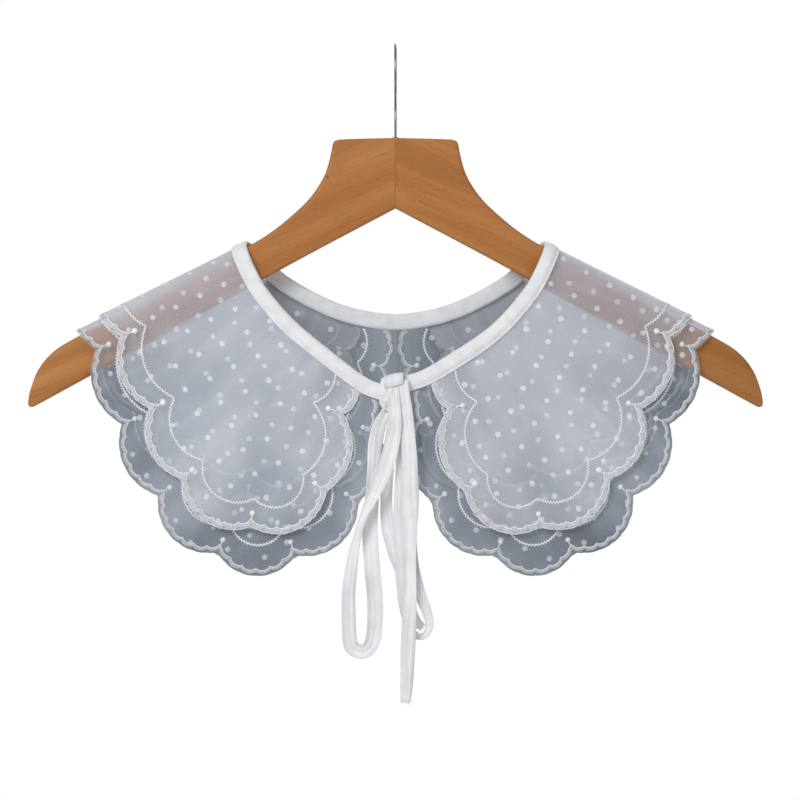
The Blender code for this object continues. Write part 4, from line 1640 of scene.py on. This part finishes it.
LONG_TAIL = (
    Station(4.2, 145.0, 4.4, 6.6, 0),
    Station(5.0, 155.0, 4.5, 7.4, 0),
    Station(6.0, 163.3, 4.3, 8.4, 4),
    Station(7.2, 178.0, 4.2, 9.0, 6),
    Station(8.6, 196.0, 4.2, 9.2, 6),
    Station(9.4, 216.0, 4.2, 9.0, 6),
    Station(8.8, 234.0, 4.2, 8.0, 6),
    Station(8.6, 252.0, 4.2, 7.2, 8),
    Station(8.6, 270.0, 4.3, 7.6, 6),
    Station(8.2, 286.0, 4.3, 8.6, 0),
    Station(7.4, 304.0, 4.3, 8.6, 0),
    Station(6.8, 320.0, 4.3, 7.8, 4),
    Station(6.3, 330.0, 4.4, 7.0, 8),
    Station(5.9, 335.4, 4.4, 5.8, 12),
)
SHORT_TAIL = (
    Station(0.2, 158.0, 0.0, 4.6, 0),
    Station(-3.0, 180.0, 0.2, 6.4, 0),
    Station(-4.4, 198.0, 0.2, 6.8, 0),
    Station(-5.4, 216.0, 0.2, 7.0, 0),
    Station(-4.4, 232.0, 0.2, 7.8, 0),
    Station(-1.0, 246.0, 0.2, 7.8, 0),
    Station(3.6, 259.0, 0.2, 7.2, 0),
    Station(6.8, 271.0, 0.2, 6.8, 0),
    Station(9.2, 281.0, 0.2, 6.2, 0),
    Station(12.4, 288.0, 0.2, 5.6, 0),
    Station(16.0, 291.6, 0.2, 4.8, 0),
)

# %% Tape along a path
TIES_START_DROP = 163.3
TIE_DEPTH_AT_KNOT = 17.6
TIE_DEPTH_CLEAR = 22.9
TIE_CLEAR_DROP = 177.0
TIE_SLOPE = 0.088
TIE_SLOPE_END_DROP = 262.0
LAYER_PITCH_AT_KNOT = 1.7
LAYER_PITCH_HANGING = 2.15
TAPE_STEP = 1.6
TAPE_HALF_THICK = 0.42
TAPE_TOP = tuple(math.sin(math.radians(angle)) for angle in range(-90, 91, 10))
STITCH_SHARE = -0.68
FOLD_SHARE = 0.55
GROOVE_WIDTH = 0.08
CREASE_WIDTH = 0.2
CREASE_WANDER = 26.0
CUP_WANDER = 30.0
TONE_WANDER = 22.0
STITCH_RUN = 1.2
STITCH_PROUD = 0.05


def tie_depth(drop, layer):
    """How far forward a layer of the bow hangs: out of the knot, then clear of the cloth."""
    out = ease(drop, TIES_START_DROP, TIE_CLEAR_DROP)
    depth = TIE_DEPTH_AT_KNOT + (TIE_DEPTH_CLEAR - TIE_DEPTH_AT_KNOT) * out
    depth += TIE_SLOPE * (min(max(drop, TIE_CLEAR_DROP), TIE_SLOPE_END_DROP) - TIE_CLEAR_DROP)
    pitch = LAYER_PITCH_AT_KNOT + (LAYER_PITCH_HANGING - LAYER_PITCH_AT_KNOT) * out
    return depth + layer * pitch


def tape_path(stations):
    """Places, widths and twists along a tape, cut about every step of its length."""
    rows = []
    for row in stations:
        place = space(RIGHT, row.x, row.drop, tie_depth(row.drop, row.layer))
        rows.append((place, Vector((row.width, row.twist, 0.0))))
    first = tuple(one * 2 - two for one, two in zip(rows[0], rows[1]))
    last = tuple(one * 2 - two for one, two in zip(rows[-1], rows[-2]))
    padded = [first, *rows, last]
    path = []
    for before, start, end, after in zip(padded, padded[1:], padded[2:], padded[3:]):
        count = max(1, round((end[0] - start[0]).length / TAPE_STEP))
        for index in range(count):
            t = index / count
            path.append([between(*values, t) for values in zip(before, start, end, after)])
    return path + [list(rows[-1])]


def tape_frames(stations):
    """For each step: its middle, the way across the tape, the way out of it, and half its width."""
    path = tape_path(stations)
    middles = [point for point, _ in path]
    frames = []
    for index, (point, shape) in enumerate(path):
        run = run_at(middles, index).normalized()
        flat_way = Vector((0.0, 1.0, 0.0)).cross(run).normalized()
        twist = math.radians(shape.y)
        wide = flat_way * math.cos(twist) + run.cross(flat_way) * math.sin(twist)
        frames.append((point, wide, run.cross(wide), shape.x / 2))
    return frames


def tape_crease(point, share, seed):
    """Where a lengthwise crease runs: 1 at its bottom, 0 away from it. It wanders across."""
    crease_at = 0.6 * noise.noise(point / CREASE_WANDER + Vector((0.0, seed, 0.0)))
    return bell(share - crease_at, CREASE_WIDTH)


def tape_height(point, share, seed):
    """The cloth's height across the tape: a wandering cup, creases and the stitched groove."""
    wander = noise.noise(point / CUP_WANDER + Vector((seed, 0.0, 0.0)))
    cup = (0.9 + 1.6 * wander) * (1 - share * share)
    crease = 0.75 * tape_crease(point, share, seed) * (0.3 + abs(wander))
    groove = 0.3 * bell(share - STITCH_SHARE, GROOVE_WIDTH)
    fold = 0.24 * bell(share - FOLD_SHARE, GROOVE_WIDTH)
    return cup - crease - groove - fold


def tape_painted_shade_and_tones(frames, seed):
    """Painted shade: folded edges, creases and the stitched groove are darker than the crown of the
    tape, with a little random tone.
    """
    tones = []
    for point, *_ in frames:
        wander = noise.noise(point / TONE_WANDER + Vector((0.0, 0.0, seed)))
        row = []
        for share in TAPE_TOP:
            groove = bell(share - STITCH_SHARE, GROOVE_WIDTH)
            fold = bell(share - FOLD_SHARE, GROOVE_WIDTH)
            painted_shade = 0.2 * abs(share) ** 3 + 0.09 * tape_crease(point, share, seed)
            painted_shade += 0.09 * groove + 0.05 * fold
            row.append(1.0 + 0.08 * wander - painted_shade * (1.0 + 1.6 * share * wander))
        tones += row + row[-2:0:-1]
    return tones


def tape_rings(frames, seed, relief=1.0):
    """The tape's section at each frame: a thin lens across it, bent to the cloth's height."""
    rings = []
    for point, wide, out, half in frames:
        top, under = [], []
        for share in TAPE_TOP:
            rounding = math.sqrt(max(1 - abs(share) ** 6, 0.0))
            height = tape_height(point, share, seed) * relief
            middle = point + wide * share * half
            top.append(middle + out * (height + TAPE_HALF_THICK * rounding))
            under.append(middle + out * (height - TAPE_HALF_THICK * rounding))
        rings.append(top + under[-2:0:-1])
    return rings


def thread_ring(middle, wide, out, radius):
    """A thread's small square section about its middle."""
    return [middle + (wide * a + out * b) * radius for a, b in THREAD_SECTION]


def tape_stitches(vertices, faces, frames, seed):
    """A row of short stitches in the tape's groove, on the side that faces out."""
    travelled = 0.0
    row = []
    for (before, *_), (point, wide, out, half) in zip(frames, frames[1:]):
        travelled += (point - before).length
        if travelled % (2 * TAPE_STEP) < TAPE_STEP * STITCH_RUN:
            height = tape_height(point, STITCH_SHARE, seed) + TAPE_HALF_THICK + STITCH_PROUD
            middle = point + wide * STITCH_SHARE * half + out * height
            row.append(thread_ring(middle, wide, out, STITCH_RADIUS))
        if len(row) == 2:
            add_loft(vertices, faces, row)
            row = []


# %% Build the loops and tails
Tie = namedtuple("Tie", "name stations seed")

FRAYED_THREADS = 9
FRAY_RADIUS = 0.16
FRAY_SPREAD = 0.9
FRAY_LENGTH = (0.4, 1.5)
FRAY_SWAY = 0.6
FRAY_ROOT = 0.6
FRAY_THINNING = (1.0, 1.0, 0.4)


def add_fray(vertices, faces, frames):
    """Short loose threads at the cut end of a tape."""
    point, wide, out, half = frames[-1]
    run = wide.cross(out)
    for index in range(FRAYED_THREADS):
        share = 2 * FRAY_SPREAD * index / (FRAYED_THREADS - 1) - FRAY_SPREAD
        start = point + wide * share * half
        length = random.uniform(*FRAY_LENGTH)
        sway = wide * random.uniform(-FRAY_SWAY, FRAY_SWAY)
        halfway = start + run * length / 2 + sway * 0.4
        row = [start - run * FRAY_ROOT, halfway, start + run * length + sway]
        rings = []
        for middle, thin in zip(row, FRAY_THINNING):
            rings.append(thread_ring(middle, wide, out, FRAY_RADIUS * thin))
        add_loft(vertices, faces, rings)


for tie in (
    Tie("loop_left", LEFT_LOOP, 3.1),
    Tie("loop_right", RIGHT_LOOP, 7.7),
    Tie("tail_long", LONG_TAIL, 12.3),
    Tie("tail_short", SHORT_TAIL, 18.9),
):
    frames = tape_frames(tie.stations)
    rings = tape_rings(frames, tie.seed)
    name = f"tie_{tie.name}"
    strand = loft_piece(f"{name}_tape", rings, tape_cloth, "bias_tape", [name])
    set_values(strand, "tone", tape_painted_shade_and_tones(frames, tie.seed))
    vertices, faces = [], []
    tape_stitches(vertices, faces, frames, tie.seed)
    if tie.stations in (LONG_TAIL, SHORT_TAIL):
        add_fray(vertices, faces, frames)
    sewing = make_piece(f"{name}_stitches", vertices, faces, satin_thread, "bias_tape")

# %% [markdown]
# ## The knot
# The knot is tape wrapped over tape. A simple ball would look like a bead, so it is made of two
# pieces: a gathered lump at the back, pleated lengthwise, and one turn of tape that comes over
# the top of it and covers the upper ends of the strands.

# %% Knot
Ring = namedtuple("Ring", "drop x half_width depth half_depth")

KNOT = (
    Ring(143.0, -3.0, 3.0, 21.3, 2.4),
    Ring(144.6, -3.2, 5.2, 21.3, 3.4),
    Ring(150.0, -3.4, 6.0, 21.4, 4.0),
    Ring(156.0, -3.8, 5.6, 21.3, 4.0),
    Ring(161.0, -4.4, 4.4, 21.0, 3.6),
    Ring(165.0, -5.0, 2.6, 20.8, 2.4),
)
KNOT_SIDES = 72
KNOT_STEP = 0.6
TURN_PATH = (
    (17.2, 151.0),
    (17.0, 147.0),
    (18.4, 143.8),
    (21.4, 142.2),
    (24.4, 142.4),
    (26.2, 143.6),
    (26.8, 145.6),
    (26.6, 147.4),
    (25.8, 148.6),
)
TURN_MIDDLE = -1.0
TURN_WIDTH = 11.6
TURN_LIFT = 0.2
TURN_RELIEF = 0.25
TURN_STEP = 0.9
TURN_SEED = 25.7
PLEAT_DEPTH = 0.6
PLEATS = 7.0
KNOT_UNEVEN = (2.6, 1.1)
KNOT_TONE = 0.96
KNOT_MOTTLE = (2.2, 0.14)


def knot_rings():
    """The gathered lump: round sections down its height, pleated on the front."""
    rows = [Vector((row.drop, row.x, row.half_width)) for row in KNOT]
    depths = [Vector((row.drop, row.depth, row.half_depth)) for row in KNOT]
    rings = []
    for (drop, x, half_width), (_, depth, half_depth) in zip(
        smooth_line(rows, KNOT_STEP), smooth_line(depths, KNOT_STEP)
    ):
        ring = []
        for index in range(KNOT_SIDES):
            angle = 2 * math.pi * index / KNOT_SIDES
            across = math.cos(angle)
            front = math.sin(angle)
            sway = 1.2 * math.sin(drop / 2.6)
            pleats = PLEAT_DEPTH * math.sin(PLEATS * across + sway) * max(front, 0.0)
            spot = Vector((across * half_width, front * half_depth, drop))
            uneven = pucker(spot, *KNOT_UNEVEN)
            wide = half_width + pleats + uneven
            deep = half_depth + pleats + uneven
            ring.append(space(RIGHT, x + wide * across, drop, depth + deep * front))
        rings.append(ring)
    return rings


def turn_frames():
    """The turn of tape that goes over the knot's top, back to front, higher on the right."""
    path = smooth_line([Vector(point) for point in TURN_PATH], TURN_STEP)
    wide = Vector((1.0, 0.0, TURN_LIFT)).normalized()
    places = [space(RIGHT, TURN_MIDDLE, drop, depth) for depth, drop in path]
    frames = []
    for index, place in enumerate(places):
        run = run_at(places, index).normalized()
        frames.append((place, wide, run.cross(wide).normalized(), TURN_WIDTH / 2))
    return frames


rings = knot_rings()
knot = loft_piece("tie_knot_lump", rings, tape_cloth, "bias_tape", ["tie_knot"])
tones = [KNOT_TONE + pucker(point, *KNOT_MOTTLE) for ring in rings for point in ring]
set_values(knot, "tone", tones)
frames = turn_frames()
rings = tape_rings(frames, TURN_SEED, TURN_RELIEF)
turn = loft_piece("tie_knot_turn", rings, tape_cloth, "bias_tape")
set_values(turn, "tone", tape_painted_shade_and_tones(frames, TURN_SEED))
print("knot, points:", len(knot.data.vertices), "and on its turn:", len(turn.data.vertices))

# %% [markdown]
# ## Stage, light and camera
# The collar is shown as in a catalogue: pale all round, lit softly from the upper left, and seen
# level from the front through a long lens, which keeps both shoulders in the same scale. The
# background light is dimmer than it looks, so that the folds keep some shade.

# %% Stage and background
FLOOR_DROP = 0.9
FLOOR_RADIUS = 1.3
FLOOR_SIDES = 96
BACKDROP_BRIGHTNESS = 1.0
FILL_BRIGHTNESS = 0.38


def make_floor():
    """A pale round floor, well below the collar."""
    mesh = bpy.data.meshes.new("studio_floor")
    turns = [2 * math.pi * index / FLOOR_SIDES for index in range(FLOOR_SIDES)]
    rim = [(FLOOR_RADIUS * math.cos(t), FLOOR_RADIUS * math.sin(t), -FLOOR_DROP) for t in turns]
    mesh.from_pydata(rim, [], [tuple(range(FLOOR_SIDES))])
    material, _, shader = new_material("pale studio floor")
    shader.inputs["Base Color"].default_value = linear("F4F4F4")
    shader.inputs["Roughness"].default_value = 0.9
    mesh.materials.append(material)
    floor = bpy.data.objects.new("studio_floor", mesh)
    bpy.context.scene.collection.objects.link(floor)


def make_background():
    """White behind the object, and dimmer where it lights it."""
    world = bpy.data.worlds.new("pale studio")
    world.use_nodes = True
    tree = world.node_tree
    rays = add_node(tree, "ShaderNodeLightPath")
    strength = add_node(
        tree,
        "ShaderNodeMapRange",
        {
            "Value": rays.outputs["Is Camera Ray"],
            "To Min": FILL_BRIGHTNESS,
            "To Max": BACKDROP_BRIGHTNESS,
        },
    )
    tree.links.new(strength.outputs[0], tree.nodes["Background"].inputs["Strength"])
    tree.nodes["Background"].inputs["Color"].default_value = (1.0, 1.0, 1.0, 1.0)
    bpy.context.scene.world = world


make_floor()
make_background()

# %% Lamps and camera
Lamp = namedtuple("Lamp", "name place size watts")

LAMPS = (
    Lamp("key_softbox", (-0.9, -1.5, 0.75), 0.9, 20.0),
    Lamp("fill_softbox", (1.3, -1.4, 0.1), 1.2, 3.5),
    Lamp("rear_softbox", (0.3, 1.6, 0.8), 1.2, 12.0),
)
LOOK_AT = Vector((0.0027, -0.012, -0.213))
LENS_MM = 180.0
SENSOR_MM = 36.0
VIEW_WIDTH = 0.4776

for row in LAMPS:
    light = bpy.data.lights.new(row.name, "AREA")
    light.size = row.size
    light.energy = row.watts
    lamp = bpy.data.objects.new(row.name, light)
    lamp.location = row.place
    lamp.rotation_euler = (LOOK_AT - lamp.location).to_track_quat("-Z", "Y").to_euler()
    bpy.context.scene.collection.objects.link(lamp)

camera_data = bpy.data.cameras.new("catalogue_camera")
camera_data.lens = LENS_MM
camera_data.sensor_width = SENSOR_MM
camera = bpy.data.objects.new("catalogue_camera", camera_data)
camera.location = LOOK_AT - Vector((0.0, VIEW_WIDTH * LENS_MM / SENSOR_MM, 0.0))
camera.rotation_euler = (math.radians(90.0), 0.0, 0.0)
bpy.context.scene.collection.objects.link(camera)
bpy.context.scene.camera = camera
bpy.context.scene.view_settings.view_transform = "Standard"
print("camera stands", round(-camera.location.y, 2), "m in front")
